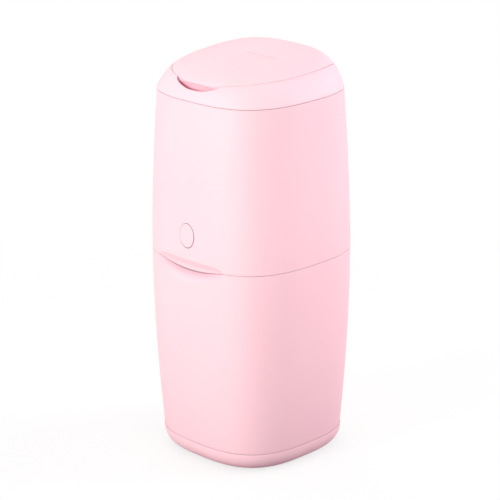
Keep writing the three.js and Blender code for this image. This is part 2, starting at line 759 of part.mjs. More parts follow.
function clampFrame() {
  const { plateBottom, thick, halfX, halfY, openX, openY, cornerPower } = CLAMP;
  const top = plateBottom + thick;
  const shape = oval(halfX, halfY, cornerPower, 0, 32);
  shape.holes.push(new THREE.Path(oval(openX, openY, cornerPower, 0, 24).getPoints()));
  let frame = solid(prismZ(shape, plateBottom, top));
  const lug = { inner: 80, outer: 84, halfY: 5.5, over: 6 };
  const spigotEnd = END_WALL.inner - 3;
  for (const side of [-1, 1]) {
    const span = (from, to) => (side > 0 ? [from, to] : [-to, -from]);
    const [x0, x1] = span(lug.inner, lug.outer);
    for (const y of [-ROD.y, ROD.y]) {
      frame = frame.add(solid(block([x0, y - lug.halfY, top - 1], [x1, y + lug.halfY, ROD.z + lug.over])));
    }
    const [w0, w1] = span(END_WALL.inner, END_WALL.outer);
    const wall = block([w0, -END_WALL.halfY, top - 1], [w1, END_WALL.halfY, END_WALL.top]);
    const spigot = barX(JAW_SPRING.spigot, ...span(spigotEnd, END_WALL.outer), 0, JAW_SPRING.z);
    frame = frame.add(joined(wall, spigot));
  }
  for (const y of [-ROD.y, ROD.y]) {
    frame = frame.subtract(solid(barX(boreFor(ROD.radius), -halfX - 2, halfX + 2, y, ROD.z)));
  }
  for (const [x, y] of clampPosts()) {
    frame = frame.subtract(solid(barZ(CLEAR_HOLE, plateBottom - 1, top + 1, x, y)));
  }
  return geometryOf(frame);
}

// One jaw, on the +X side: a block that slides on both rods, with a sloping top
function clampJaw() {
  const { inner, outer, halfY, bottom, top } = JAW;
  const shape = outline([
    [inner, bottom],
    [outer, bottom],
    [outer, top],
    [outer - 4, top],
    [inner + 8, top - 6],
    [inner, top - 8.5],
  ]);
  const spigot = barX(JAW_SPRING.spigot, outer - 1, outer + 4, 0, JAW_SPRING.z);
  let jaw = joined(prismY(shape, -halfY, halfY), spigot);
  for (const y of [-ROD.y, ROD.y]) {
    jaw = jaw.subtract(solid(barX(boreFor(ROD.radius), inner - 5, outer + 5, y, ROD.z)));
  }
  return geometryOf(jaw);
}

// A rubber strip on the jaw's face, a quarter of a millimetre short of the middle
function jawPad() {
  const [face, back, half] = [0.25, JAW.inner - 0.2, JAW.halfY - 10];
  return block([face, -half, JAW.bottom + 1], [back, half, JAW.bottom + 10]);
}

// Materials
function finish(color, roughness, metalness = 0) {
  return new THREE.MeshStandardMaterial({ color, roughness, metalness, flatShading: true });
}

const pinkShell = finish(0xfcd4df, 0.34);
const innerWhite = finish(0xf1eff0, 0.45);
const greyRubber = finish(0x8d8b8e, 0.85);
const steel = finish(0xc4c6ca, 0.3, 1);
const cassettePlastic = finish(0xe7eef2, 0.4);
const film = finish(0xf6f8fa, 0.25);

const bin = new THREE.Group();

// Adds a named piece to the bin
function piece(name, geometry, material, place = {}) {
  const mesh = new THREE.Mesh(geometry, material);
  mesh.name = name;
  mesh.position.set(place.x ?? 0, place.y ?? 0, place.z ?? 0);
  mesh.rotation.set(place.turnX ?? 0, place.turnY ?? 0, place.turnZ ?? 0);
  bin.add(mesh);
  return mesh;
}

const cornerName = (x, y) => (y < 0 ? "front_" : "rear_") + (x < 0 ? "left" : "right");

// Base and lower bin
piece("base_plinth", basePlinth(), pinkShell);
for (const [x, y] of mirroredPairs(FOOT_PAD.at)) {
  const pad = barZ(FOOT_PAD.radius, 0, FOOT_PAD.thick, 0, 0);
  piece("foot_pad_" + cornerName(x, y), pad, greyRubber, { x, y });
}
for (const [x, y] of mirroredPairs(BASE_SCREW_AT)) {
  piece("base_screw_" + cornerName(x, y), screw(15, 1.6), steel, { x, y, z: 0.5 });
}
piece("lower_bin", lowerBin(), pinkShell);
piece("latch_keeper", latchKeeper(), innerWhite);
piece("film_cutter_housing", cutterHousing(), innerWhite);
piece("film_cutter_blade", cutterBlade(), steel);
const { halfWidth: bodyReach } = BODY_HINGE;
piece("body_hinge_pin", barX(BODY_HINGE.pin, -bodyReach, bodyReach, 0, 0), steel, {
  y: BODY_HINGE.y,
  z: BODY_HINGE.z,
});

// Upper housing, collar and lid
piece("upper_housing", upperHousing(), pinkShell);
piece("top_collar", topCollar(), pinkShell);
for (const [x, y] of mirroredPairs(POST)) {
  const place = { x, y, z: CORNER_WEB.bottom - GAP - SCREW.headHeight };
  piece("collar_screw_" + cornerName(x, y), screw(16), steel, place);
}
const lidReach = LID_HINGE.halfWidth;
piece("lid_hinge_pin", barX(LID_HINGE.pin, -lidReach, lidReach, 0, 0), steel, {
  y: LID_HINGE.y,
  z: LID_HINGE.z,
});
piece("lid_shell", lidShell(), pinkShell);
piece("lid_seal", lidSeal(), greyRubber);

// Button and latch
piece("release_button", releaseButton(), pinkShell);
piece("latch_bracket", latchBracket(), innerWhite);
for (const side of [-1, 1]) {
  const name = "bracket_screw_" + (side < 0 ? "left" : "right");
  const headFace = BRACKET.front + BRACKET.thick + GAP + SCREW.headHeight;
  const place = { x: side * BRACKET_SCREW.x, y: headFace, z: BRACKET_SCREW.z, turnX: Math.PI / 2 };
  piece(name, screw(9), steel, place);
}
piece("latch_pivot_pin", barX(LATCH_PIVOT.radius, -BRACKET.outer, BRACKET.outer, 0, 0), steel, {
  y: LATCH_PIVOT.y,
  z: LATCH_PIVOT.z,
});
piece("latch_lever", latchLever(), innerWhite);
const latchSpringLength = BRACKET.back - BRACKET.thick - LEVER.back - 2 * GAP;
piece("latch_spring", spring(3.6, 0.5, latchSpringLength, 5), steel, {
  y: LEVER.back + GAP,
  z: BUTTON.z,
  turnX: -Math.PI / 2,
});

// Cassette and its tray
piece("cassette_tray", cassetteTray(), innerWhite);
for (const [x, y] of mirroredPairs(POST)) {
  const headFace = TRAY.bottom + TRAY.thick + GAP + SCREW.headHeight;
  const place = { x, y, z: headFace, turnX: Math.PI };
  piece("tray_screw_" + cornerName(x, y), screw(15), steel, place);
}
piece("cassette_case", cassetteCase(), cassettePlastic);
piece("cassette_cover", cassetteCover(), cassettePlastic);
piece("film_pleats", filmPleats(), film);

// Clamp
piece("clamp_frame", clampFrame(), innerWhite);
for (const [x, y] of clampPosts()) {
  const place = { x, y, z: CLAMP.plateBottom - GAP - SCREW.headHeight };
  piece("clamp_screw_" + cornerName(x, y), screw(16), steel, place);
}
for (const y of [-ROD.y, ROD.y]) {
  const rod = barX(ROD.radius, -ROD.halfLength, ROD.halfLength, 0, 0);
  piece("jaw_rod_" + (y < 0 ? "front" : "rear"), rod, steel, { y, z: ROD.z });
}
for (const side of [-1, 1]) {
  const name = side < 0 ? "left" : "right";
  const turnZ = side < 0 ? Math.PI : 0;
  const springLength = END_WALL.inner - JAW.outer - 2 * GAP;
  const { radius, wire, curls } = JAW_SPRING;
  piece("clamp_jaw_" + name, clampJaw(), innerWhite, { turnZ });
  piece("jaw_pad_" + name, jawPad(), greyRubber, { turnZ });
  piece("jaw_spring_" + name, spring(radius, wire, springLength, curls), steel, {
    x: side * (JAW.outer + GAP),
    z: JAW_SPRING.z,
    turnY: (side * Math.PI) / 2,
  });
}

export default bin;
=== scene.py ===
# %% [markdown]
# # A nappy bin, dressed over its engineering model
# The bin is one soft square from foot to lid, moulded in satin pink plastic. Its two halves part
# at a rear hinge, the top carries a lid, and a cassette of film hangs inside over a clamp.
# The engineering model fixes every place and size. This lesson lays fine surfaces over it,
# gives each of them a finish, and lights the whole as in a photo studio.

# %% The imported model
import json
import math

import bmesh
import bpy
from mathutils import Matrix, Vector


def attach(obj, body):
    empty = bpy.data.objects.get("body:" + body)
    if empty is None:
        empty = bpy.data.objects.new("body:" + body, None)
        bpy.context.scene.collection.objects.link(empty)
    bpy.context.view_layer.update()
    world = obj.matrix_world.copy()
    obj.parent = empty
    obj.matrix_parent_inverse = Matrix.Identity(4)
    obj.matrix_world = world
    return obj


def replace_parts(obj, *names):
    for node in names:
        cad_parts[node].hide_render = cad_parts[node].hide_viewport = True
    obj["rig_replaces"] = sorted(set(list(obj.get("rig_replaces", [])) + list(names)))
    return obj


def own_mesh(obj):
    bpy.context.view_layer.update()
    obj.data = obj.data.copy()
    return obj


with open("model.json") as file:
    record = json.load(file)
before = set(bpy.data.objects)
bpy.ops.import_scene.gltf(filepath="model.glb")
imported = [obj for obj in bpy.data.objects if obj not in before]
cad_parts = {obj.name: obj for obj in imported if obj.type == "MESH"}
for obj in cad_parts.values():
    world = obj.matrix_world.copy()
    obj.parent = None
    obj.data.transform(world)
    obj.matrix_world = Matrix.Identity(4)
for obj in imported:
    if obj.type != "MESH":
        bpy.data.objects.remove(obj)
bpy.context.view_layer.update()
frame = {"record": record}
scene = bpy.context.scene

# %% [markdown]
# ## The camera
# A catalogue photo of a tall object is taken from far away through a long lens, so that its
# sides stay nearly parallel. The distance, height and tilt here were solved from points of the
# photo: the outline, the seams and the foot. A shorter lens closer by would fill the same
# frame, but the top would look too large for the foot.

# %% The camera
CAMERA_DISTANCE = 2.8925
CAMERA_HEIGHT = 1.24465
CAMERA_TILT = math.radians(18.524)
CAMERA_AZIMUTH = math.radians(45)
CAMERA_YAW = math.radians(0.041)
CAMERA_ROLL = math.radians(-0.33)

camera_data = bpy.data.cameras.new("photo_camera")
camera_data.sensor_width = 36
camera_data.lens = 162.39
camera_data.clip_end = 60
camera = bpy.data.objects.new("photo_camera", camera_data)
camera.location = (
    CAMERA_DISTANCE * math.sin(CAMERA_AZIMUTH),
    -CAMERA_DISTANCE * math.cos(CAMERA_AZIMUTH),
    CAMERA_HEIGHT,
)
camera.rotation_euler = (
    Matrix.Rotation(CAMERA_AZIMUTH + CAMERA_YAW, 3, "Z")
    @ Matrix.Rotation(math.pi / 2 - CAMERA_TILT, 3, "X")
    @ Matrix.Rotation(CAMERA_ROLL, 3, "Z")
).to_euler()
scene.collection.objects.link(camera)
scene.camera = camera
print("camera at", [round(c, 3) for c in camera.location])

# %% [markdown]
# ## Colours as they are seen
# Colours are picked from a picture as numbers from 0 to 255, but light adds up on another
# scale, which Blender works in. One helper turns the first into the second, so that the
# numbers in the materials below can be compared with a picture.


# %% Colours as they are seen
def seen(red, green, blue):
    """A picture's colour as the linear colour that a shader takes."""

    def linear(value):
        share = value / 255
        return share / 12.92 if share <= 0.04045 else ((share + 0.055) / 1.055) ** 2.4

    return (linear(red), linear(green), linear(blue), 1)


SHELL_PINK = seen(254, 205, 215)
print("the shell's pink in linear light:", [round(c, 3) for c in SHELL_PINK])

# %% [markdown]
# ## A material's ingredients
# A moulded surface is never quite even: its colour drifts by a hair, its gloss changes in soft
# patches where the mould was hotter, and its skin has a fine grain. All three come from noise
# that is read at the piece's own place in space, so nothing slides when a piece moves. Image
# textures could do the same, but they need unwrapping and lose their sharpness close up.


# %% A material's ingredients
def surface(name, roughness, metallic=0.0, coat=0.0):
    """An empty material with its shader: the start of each finish."""
    material = bpy.data.materials.new(name)
    material.use_nodes = True
    nodes = material.node_tree.nodes
    shader = nodes["Principled BSDF"]
    shader.inputs["Roughness"].default_value = roughness
    shader.inputs["Metallic"].default_value = metallic
    shader.inputs["Coat Weight"].default_value = coat
    return material, shader


def noise(material, scale, detail=2.0, stretch=(1, 1, 1)):
    """Noise over the object's own coordinates, in patches of about 1/scale metres."""
    nodes, links = material.node_tree.nodes, material.node_tree.links
    place = nodes.new("ShaderNodeTexCoord")
    mapping = nodes.new("ShaderNodeMapping")
    mapping.inputs["Scale"].default_value = stretch
    texture = nodes.new("ShaderNodeTexNoise")
    texture.inputs["Scale"].default_value = scale
    texture.inputs["Detail"].default_value = detail
    links.new(place.outputs["Object"], mapping.inputs["Vector"])
    links.new(mapping.outputs["Vector"], texture.inputs["Vector"])
    return texture.outputs["Fac"]


# %% Drifts and grain
# Nearly all of a noise lies between these values, so a drift runs from one to the other.
NOISE_LOW, NOISE_HIGH = 0.3, 0.7


def drifting_colour(material, shader, darker, lighter, scale):
    """The base colour wanders between two close colours."""
    nodes, links = material.node_tree.nodes, material.node_tree.links
    ramp = nodes.new("ShaderNodeValToRGB")
    ramp.color_ramp.elements[0].position = NOISE_LOW
    ramp.color_ramp.elements[0].color = darker
    ramp.color_ramp.elements[1].position = NOISE_HIGH
    ramp.color_ramp.elements[1].color = lighter
    links.new(noise(material, scale), ramp.inputs["Fac"])
    links.new(ramp.outputs["Color"], shader.inputs["Base Color"])


def drifting_gloss(material, shader, low, high, scale, stretch=(1, 1, 1)):
    """The roughness wanders between two values."""
    nodes, links = material.node_tree.nodes, material.node_tree.links
    span = nodes.new("ShaderNodeMapRange")
    span.inputs["From Min"].default_value = NOISE_LOW
    span.inputs["From Max"].default_value = NOISE_HIGH
    span.inputs["To Min"].default_value = low
    span.inputs["To Max"].default_value = high
    links.new(noise(material, scale, stretch=stretch), span.inputs["Value"])
    links.new(span.outputs["Result"], shader.inputs["Roughness"])


def grain(material, shader, scale, height, strength, detail=2.0, stretch=(1, 1, 1)):
    """Fine relief, with its height in metres."""
    nodes, links = material.node_tree.nodes, material.node_tree.links
    bump = nodes.new("ShaderNodeBump")
    bump.inputs["Strength"].default_value = strength
    bump.inputs["Distance"].default_value = height
    links.new(noise(material, scale, detail, stretch), bump.inputs["Height"])
    links.new(bump.outputs["Normal"], shader.inputs["Normal"])


# %% [markdown]
# ## Seams and hollows
# The seams of the real bin are fine grey lines, because little light gets out of a gap. That
# shade is painted into the colour: the ambient occlusion node measures how closed in a point is
# within a few millimetres, and the colour goes over to grey there. Over a longer reach it finds
# the hollows, where light goes from pink wall to pink wall, and paints them a deeper, shaded
# pink. Where the photo shows more of either than the node finds, a piece marks its vertices
# itself, with a number under a name, and the same painted shade follows the mark. A painted
# texture could hold such marks too, but only a few edges need them.


# %% Seams and hollows
def mix_node(tree, kind, share):
    """A Mix node for numbers or colours: its two inputs and its result."""
    mix = tree.nodes.new("ShaderNodeMix")
    mix.data_type = kind
    tree.links.new(share, mix.inputs[0])
    # The node has sockets of the same names for each kind of value, so they go by number.
    first, second, result = {"FLOAT": (2, 3, 0), "RGBA": (6, 7, 2)}[kind]
    return mix.inputs[first], mix.inputs[second], mix.outputs[result]


def blended_in(material, shader, colour, share):
    """Mixes a colour over the base colour by a share."""
    tree, base = material.node_tree, shader.inputs["Base Color"]
    below, above, result = mix_node(tree, "RGBA", share)
    tree.links.new(base.links[0].from_socket, below)
    above.default_value = colour
    tree.links.new(result, base)


def crevice_shade(material, shader, colour, reach, starts_at=1.0):
    """Painted shade: a colour for closed-in points. It starts where this share of the view is
    open.
    """
    nodes, links = material.node_tree.nodes, material.node_tree.links
    open_share = nodes.new("ShaderNodeAmbientOcclusion")
    open_share.samples = 8
    open_share.inputs["Distance"].default_value = reach
    closed_share = nodes.new("ShaderNodeMapRange")
    closed_share.inputs["From Min"].default_value = starts_at
    closed_share.inputs["From Max"].default_value = 0
    links.new(open_share.outputs["AO"], closed_share.inputs["Value"])
    blended_in(material, shader, colour, closed_share.outputs["Result"])


def marked_shade(material, shader, colour, name):
    """Painted shade: a colour for the vertices that a piece has marked under a name."""
    mark = material.node_tree.nodes.new("ShaderNodeAttribute")
    mark.attribute_name = name
    blended_in(material, shader, colour, mark.outputs["Fac"])


# %% [markdown]
# ## The pink plastic
# The shell is polypropylene with a satin skin: it shows soft, wide highlights and no mirror
# image. A roughness of about a half gives that. Over the drifting pink lie the two marks of
# painted shade, "hollow" for a deep pink and "gap" for the grey of the seams. Then the
# occlusion paints its own shade: a shaded pink with a reach of 12 mm, and the grey with one of
# 2.5 mm.

# %% The pink plastic
# Painted shade: deep pink under the scoop's seam, shaded pink in hollows, grey in seams.
HOLLOW_SHADE_PINK = seen(221, 130, 159)
SHADED_PINK = seen(232, 160, 182)
SEAM_SHADE_GREY = seen(146, 150, 154)
pink_plastic, shader = surface("pink_plastic", roughness=0.5)
shader.inputs["Specular IOR Level"].default_value = 0.4
drifting_colour(pink_plastic, shader, SHELL_PINK, seen(255, 208, 217), scale=7)
drifting_gloss(pink_plastic, shader, 0.47, 0.56, scale=22)
# Painted shade, first from the vertex marks and then from the occlusion node.
marked_shade(pink_plastic, shader, HOLLOW_SHADE_PINK, "hollow")
marked_shade(pink_plastic, shader, SEAM_SHADE_GREY, "gap")
crevice_shade(pink_plastic, shader, SHADED_PINK, reach=0.012)
crevice_shade(pink_plastic, shader, SEAM_SHADE_GREY, reach=0.0025, starts_at=0.95)
grain(pink_plastic, shader, scale=2200, height=0.00002, strength=0.35)
print("made", pink_plastic.name)

# %% [markdown]
# ## From rings to a body
# Every shell here is a stack of rings: a soft square that changes its size with height. A
# comb of vertices, one for each ring, is spun once round the Z axis, and then each ring is
# moved onto its own outline. Spinning makes all the faces in one go, and moving the rings
# gives shapes that no lathe could turn. A subdivided box would come close, but its corners
# would never follow the measured outline.


# %% From rings to a body
def lofted(rings, steps, closed=True):
    """A mesh through rings. Each ring gives a point in millimetres for an angle."""
    bm = bmesh.new()
    comb = [bm.verts.new((1, 0, i)) for i in range(len(rings))]
    pairs = list(zip(comb, comb[1:]))
    if closed:
        pairs.append((comb[-1], comb[0]))
    teeth = [bm.edges.new(pair) for pair in pairs]
    bmesh.ops.spin(
        bm,
        geom=comb + teeth,
        cent=(0, 0, 0),
        axis=(0, 0, 1),
        angle=2 * math.pi,
        steps=steps,
        use_merge=True,
    )
    for vert in bm.verts:
        angle = math.atan2(vert.co.y, vert.co.x)
        vert.co = rings[round(vert.co.z)](angle)
    bmesh.ops.remove_doubles(bm, verts=bm.verts, dist=0.0001)
    bmesh.ops.recalc_face_normals(bm, faces=bm.faces)
    return bm


def oval(half_x, half_y, power, angle, centre_y=0.0):
    """A point of an oval: power 2 is an ellipse, and a higher one is squarer."""
    cosine, sine = math.cos(angle), math.sin(angle)
    reach = (abs(cosine / half_x) ** power + abs(sine / half_y) ** power) ** (-1 / power)
    return reach * cosine, centre_y + reach * sine


BODY_POWER = 2.86


def soft_square(half, z):
    """A ring in the plan of the bin at one height."""
    return lambda angle: (*oval(half, half, BODY_POWER, angle), z)


def point_at(z):
    """A ring that closes a shape on its axis."""
    return lambda angle: (0, 0, z)


corner = math.hypot(*oval(100, 100, BODY_POWER, math.pi / 4))
print("a soft square 100 mm to each side reaches", round(corner, 1), "mm in its corners")

# %% [markdown]
# ## A finished piece
# A mesh is built in millimetres, because that is how a maker thinks, and becomes metres at
# the end. Its faces are shaded smooth, while edges where the surface really turns stay sharp.
# The piece then rides on a body of the model and stands for the model's node.

# %% A finished piece
MM = 0.001
made = []


def finished(bm, name, material, body, replaces, sharp=35):
    """Turns a mesh in millimetres into a piece that rides on a body."""
    bmesh.ops.scale(bm, vec=(MM, MM, MM), verts=bm.verts)
    for face in bm.faces:
        face.smooth = True
    for edge in bm.edges:
        edge.smooth = len(edge.link_faces) == 2 and edge.calc_face_angle() < math.radians(sharp)
    mesh = bpy.data.meshes.new(name)
    bm.to_mesh(mesh)
    bm.free()
    mesh.materials.append(material)
    piece = bpy.data.objects.new(name, mesh)
    scene.collection.objects.link(piece)
    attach(piece, body)
    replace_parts(piece, *replaces)
    made.append(piece)
    print(f"{name}: {len(mesh.polygons)} faces, rides on {body}")
    return piece


# %% [markdown]
# ## One shape taken out of another
# A hole with a crisp edge is cut with a Boolean: a second closed shape fills the room that has
# to be empty, and the difference of the two is what is left. The exact solver takes longer
# than the fast one, but it stays right where faces touch. The two working objects go again.


# %% One shape taken out of another
def cut_from(bm, cutter):
    """Takes one closed mesh out of another with a Boolean modifier."""
    objects = []
    for mesh_data in (bm, cutter):
        mesh = bpy.data.meshes.new("boolean_work")
        mesh_data.to_mesh(mesh)
        mesh_data.free()
        objects.append(bpy.data.objects.new("boolean_work", mesh))
        scene.collection.objects.link(objects[-1])
    body, tool = objects
    modifier = body.modifiers.new("cut", "BOOLEAN")
    modifier.operation = "DIFFERENCE"
    modifier.solver = "EXACT"
    modifier.object = tool
    result = body.evaluated_get(bpy.context.evaluated_depsgraph_get()).to_mesh()
    left = bmesh.new()
    left.from_mesh(result)
    for work in objects:
        mesh = work.data
        bpy.data.objects.remove(work)
        bpy.data.meshes.remove(mesh)
    return left


# %% [markdown]
# ## The barrel curve
# Seen from the side, the bin is a barrel that is widest a little over the mid seam. The same
# curve as in the engineering model gives half the width at any height, so that the fine
# shells lie on the coarse ones.

# %% The barrel curve
WIDEST_HALF, WIDEST_Z = 120.27, 290
FOOT_HALF, FOOT_Z, FOOT_CURVE = 108.9, 26.6, 2
TOP_HALF, TOP_Z, TOP_CURVE = 111.5, 503.3, 1.55
MID_SEAM_Z, HALF_SEAM = 283.5, 0.15
WALL = 3


def half_width(z):
    """Half the width of the body at a height."""
    end_half, end_z, curve = TOP_HALF, TOP_Z, TOP_CURVE
    if z < WIDEST_Z:
        end_half, end_z, curve = FOOT_HALF, FOOT_Z, FOOT_CURVE
    share = abs((z - WIDEST_Z) / (end_z - WIDEST_Z))
    return WIDEST_HALF - (WIDEST_HALF - end_half) * share**curve


def heights(*stops):
    """Heights from stop to stop: each stop is a height and the spacing up to it."""
    values = [stops[0][0]]
    for height, spacing in stops[1:]:
        count = max(1, round(abs(height - values[-1]) / spacing))
        first = values[-1]
        values += [first + (height - first) * i / count for i in range(1, count + 1)]
    return values


print("half width at the foot, seam and top:", [round(half_width(z), 1) for z in (30, 283, 500)])

# %% [markdown]
# ## The finger scoop
# Under the button, the two halves share a hollow for the fingers that lift the housing. The
# seam dips through it. It could be cut out with a Boolean, but its lower side melts into the
# wall with no edge. So the vertices of the finished walls are pushed in instead: the upper
# side as a slanted band with an edge on top, the lower side as a soft hollow. The seam opens
# a little in its middle. The same loop gives the vertices their marks of painted shade:
# "hollow" for a deep pink under the seam and "gap" for grey at its very edge.

# %% The finger scoop
SCOOP_HALF = 60
UPPER_DEPTH, UPPER_CURVE, SCOOP_ABOVE = 5.2, 1.5, 17
LOWER_DEPTH, LOWER_CURVE, SCOOP_BELOW = 5.5, 1.6, 16
DIP_HALF, DIP_DEPTH, DIP_CURVE, DIP_REACH = 61, 7.7, 1.2, 42
OPENS_BY = 0.3
# Painted shade: deep pink under the seam and how far it reaches, grey along the seam's edge.
HOLLOW_SHADE_MARK, HOLLOW_BELOW = 0.62, 17
GAP_SHADE_MARK, SEAM_EDGE = 0.5, 0.65


def seam_dip(x):
    """How far the mid seam dips at the front."""
    share = min(1, abs(x) / DIP_HALF)
    return DIP_DEPTH * (1 - share * share) ** DIP_CURVE


def eased(share):
    """A soft step from 0 to 1."""
    share = max(0, min(1, share))
    return share * share * (3 - 2 * share)


def follow_scoop(bm):
    """Lowers the seam at the front, pushes the scoop into a shell's wall and marks painted shade.
    """
    hollow = bm.verts.layers.float.new("hollow")
    gap = bm.verts.layers.float.new("gap")
    for vert in bm.verts:
        x, y, z = vert.co
        if y > -WIDEST_HALF / 2:
            continue
        from_seam = abs(z - MID_SEAM_Z)
        z -= seam_dip(x) * eased(1 - from_seam / DIP_REACH)
        across = max(0, 1 - (x / SCOOP_HALF) ** 2) ** 0.5
        if across > 0:
            over_seam = z - (MID_SEAM_Z - seam_dip(x))
            if over_seam > 0:
                z += OPENS_BY * across**3 * eased(1 - over_seam / SCOOP_ABOVE)
                share = (over_seam / (SCOOP_ABOVE * across)) ** UPPER_CURVE
                inward = UPPER_DEPTH * eased(1 - share)
            else:
                share = max(0, 1 + over_seam / (SCOOP_BELOW * across))
                inward = LOWER_DEPTH * share**LOWER_CURVE
                # Painted shade: deep pink, strongest right under the seam.
                vert[hollow] = HOLLOW_SHADE_MARK * across * max(0, 1 + over_seam / HOLLOW_BELOW) ** 2
            if from_seam < SEAM_EDGE:
                # Painted shade: grey along the seam's edge.
                vert[gap] = GAP_SHADE_MARK * across**3
            y += across * inward
        vert.co = (x, y, z)


print("the seam dips by", [round(seam_dip(x), 1) for x in (0, 20, 40, 60)], "mm outwards")

# %% [markdown]
# ## The lower bin
# The lower half is a deep tub with a wall 3 mm thick. Its outline from the side is drawn as
# one line: inside floor, fillet, inside wall, a rounded rim, outside wall and underside. The
# rings are close together at the rim, where the scoop needs them, and further apart below.

# %% The lower bin
SIDES = 384


def rim_arc(half, z, radius, start, end, count=4):
    """Rings round a small edge radius, between two angles in degrees."""
    arc = []
    for i in range(count + 1):
        angle = math.radians(start + (end - start) * i / count)
        arc.append((half + radius * math.cos(angle), z + radius * math.sin(angle)))
    return arc


low, high = FOOT_Z + 0.05, MID_SEAM_Z - HALF_SEAM
floor_inside = low + 3.5
RIM_ROUND = 0.45
inside = heights((floor_inside + 10, 0), (255, 10), (high - 1.5, 1.4))
outside = heights((high - 1.5, 0), (255, 1.3), (low + 3, 8))
line = [
    (0.0, floor_inside),
    (50, floor_inside),
    (half_width(floor_inside) - WALL - 14, floor_inside),
    *rim_arc(half_width(floor_inside) - WALL - 8, floor_inside + 8, 8, 270, 350, 6),
    *[(half_width(z) - WALL, z) for z in inside],
    *rim_arc(half_width(high) - WALL + RIM_ROUND, high - RIM_ROUND, RIM_ROUND, 180, 90),
    *rim_arc(half_width(high) - RIM_ROUND, high - RIM_ROUND, RIM_ROUND, 90, 0),
    *[(half_width(z), z) for z in outside],
    *rim_arc(half_width(low) - 0.2, low + 0.2, 0.2, 0, -90, 2),
    (half_width(low) - 6, low),
    (60, low),
    (0.0, low),
]
rings = [soft_square(half, z) if half else point_at(z) for half, z in line]
lower = lofted(rings, SIDES, closed=False)
follow_scoop(lower)
print("lower bin so far:", len(lower.faces), "faces")

# %% [markdown]
# ## Turned shapes and blocks
# The small forms are of two kinds. A pin, a tube or a boss is turned: its profile is spun
# round an axis, as on a lathe. A web or a pad is a block, and its edges are bevelled, because
# no moulded edge is sharp and a bevel catches the light. Each is made at the origin and then
# put in its place, and what belongs to one moulding is joined into one mesh.


# %% Turned shapes
def turned(profile, steps=48, closed=True):
    """A round shape: a profile of radius and height, spun round the Z axis."""
    rings = [(lambda a, r=r, z=z: (r * math.cos(a), r * math.sin(a), z)) for r, z in profile]
    return lofted(rings, steps, closed)


def tube_profile(outer, inner, length, ease=0.35):
    """The profile of a tube with eased ends, from height 0 to its length."""
    return [
        (inner, ease),
        (inner + ease, 0),
        (outer - ease, 0),
        (outer, ease),
        (outer, length - ease),
        (outer - ease, length),
        (inner + ease, length),
        (inner, length - ease),
    ]


# %% Blocks, and shapes put in their place
def placed(bm, turn=(0, 0, 0), at=(0, 0, 0)):
    """Turns a mesh by angles in degrees round X, Y and Z, then moves it."""
    for angle, axis in zip(turn, "XYZ"):
        if angle:
            matrix = Matrix.Rotation(math.radians(angle), 3, axis)
            bmesh.ops.rotate(bm, cent=(0, 0, 0), matrix=matrix, verts=bm.verts)
    bmesh.ops.translate(bm, vec=at, verts=bm.verts)
    return bm


def join(bm, *others):
    """Adds other meshes to a mesh."""
    for other in others:
        mesh = bpy.data.meshes.new("joined_work")
        other.to_mesh(mesh)
        other.free()
        bm.from_mesh(mesh)
        bpy.data.meshes.remove(mesh)
    return bm


def with_soft_edges(bm, ease):
    """Bevels every edge of a mesh that turns by more than 20 degrees."""
    if ease:
        turning = [edge for edge in bm.edges if edge.calc_face_angle(0) > math.radians(20)]
        bmesh.ops.bevel(
            bm,
            geom=turning,
            offset=ease,
            offset_type="OFFSET",
            segments=2,
            profile=0.5,
            affect="EDGES",
            clamp_overlap=True,
            material=-1,
        )
    return bm


def block(low, high, ease=0.4):
    """A block between two corners with its edges bevelled."""
    bm = bmesh.new()
    bmesh.ops.create_cube(bm, size=1)
    size = [b - a for a, b in zip(low, high)]
    bmesh.ops.scale(bm, vec=size, verts=bm.verts)
    middle = [(a + b) / 2 for a, b in zip(low, high)]
    bmesh.ops.translate(bm, vec=middle, verts=bm.verts)
    return with_soft_edges(bm, ease)


# %% [markdown]
# ## Knuckles behind the seam
# A hinge is a row of short tubes, called knuckles, that take turns belonging to one half and
# the other, round one steel pin. Each knuckle here is a turned tube with its ends eased, and a
# web ties it to the wall. They are separate closed shapes in the same mesh, as the eye sees
# only where they meet.

# %% Knuckles behind the seam
BODY_PIVOT = (125, MID_SEAM_Z)
BODY_KNUCKLE, BODY_PIN = 4.2, 2.0
BORE_PLAY = 0.15
WEB_INSET = 0.2


def knuckle(outer, pin, x0, x1, y, z):
    """One hinge knuckle along X with its bore."""
    tube = turned(tube_profile(outer, pin + BORE_PLAY, x1 - x0))
    return placed(tube, turn=(0, 90, 0), at=(x0, y, z))


def body_knuckles(spans, web_low, web_high):
    """Knuckles of the body hinge with their webs to the wall."""
    y, z = BODY_PIVOT
    from_y, to_y = half_width(z) - 2, y - 2.5
    parts = []
    for x0, x1 in spans:
        parts.append(knuckle(BODY_KNUCKLE, BODY_PIN, x0, x1, y, z))
        web = block((x0 + WEB_INSET, from_y, web_low), (x1 - WEB_INSET, to_y, web_high))
        parts.append(web)
    return parts


lower_spans = [(-45, -28.7), (-7.9, 7.9), (28.7, 45)]
join(lower, *body_knuckles(lower_spans, MID_SEAM_Z - 8, MID_SEAM_Z - 0.3))
print("with knuckles:", len(lower.faces), "faces")

# %% [markdown]
# ## The tongue inside the rim
# A low wall stands up inside the seam and keeps the two halves in line. It stops short of the
# scoop at the front, where it is cut off by two flat cuts.

# %% The tongue inside the rim
tongue_line = [
    (117.6, 276),
    (116.7, 283.4),
    (116.7, 287.6),
    (116.3, 288),
    (115.0, 288),
    (114.6, 287.6),
    (114.6, 277.5),
]
tongue = lofted([soft_square(half, z) for half, z in tongue_line], SIDES // 2)
scoop_way = block((-68, -130, 270), (68, -90, 290), ease=0)
join(lower, cut_from(tongue, scoop_way))
print("with the tongue:", len(lower.faces), "faces")

# %% [markdown]
# ## Bosses and pads of the lower bin
# Under the floor, four bosses reach down to take the screws of the plinth. Inside, two flat
# pads on the curved wall carry the latch's keeper and the film cutter.

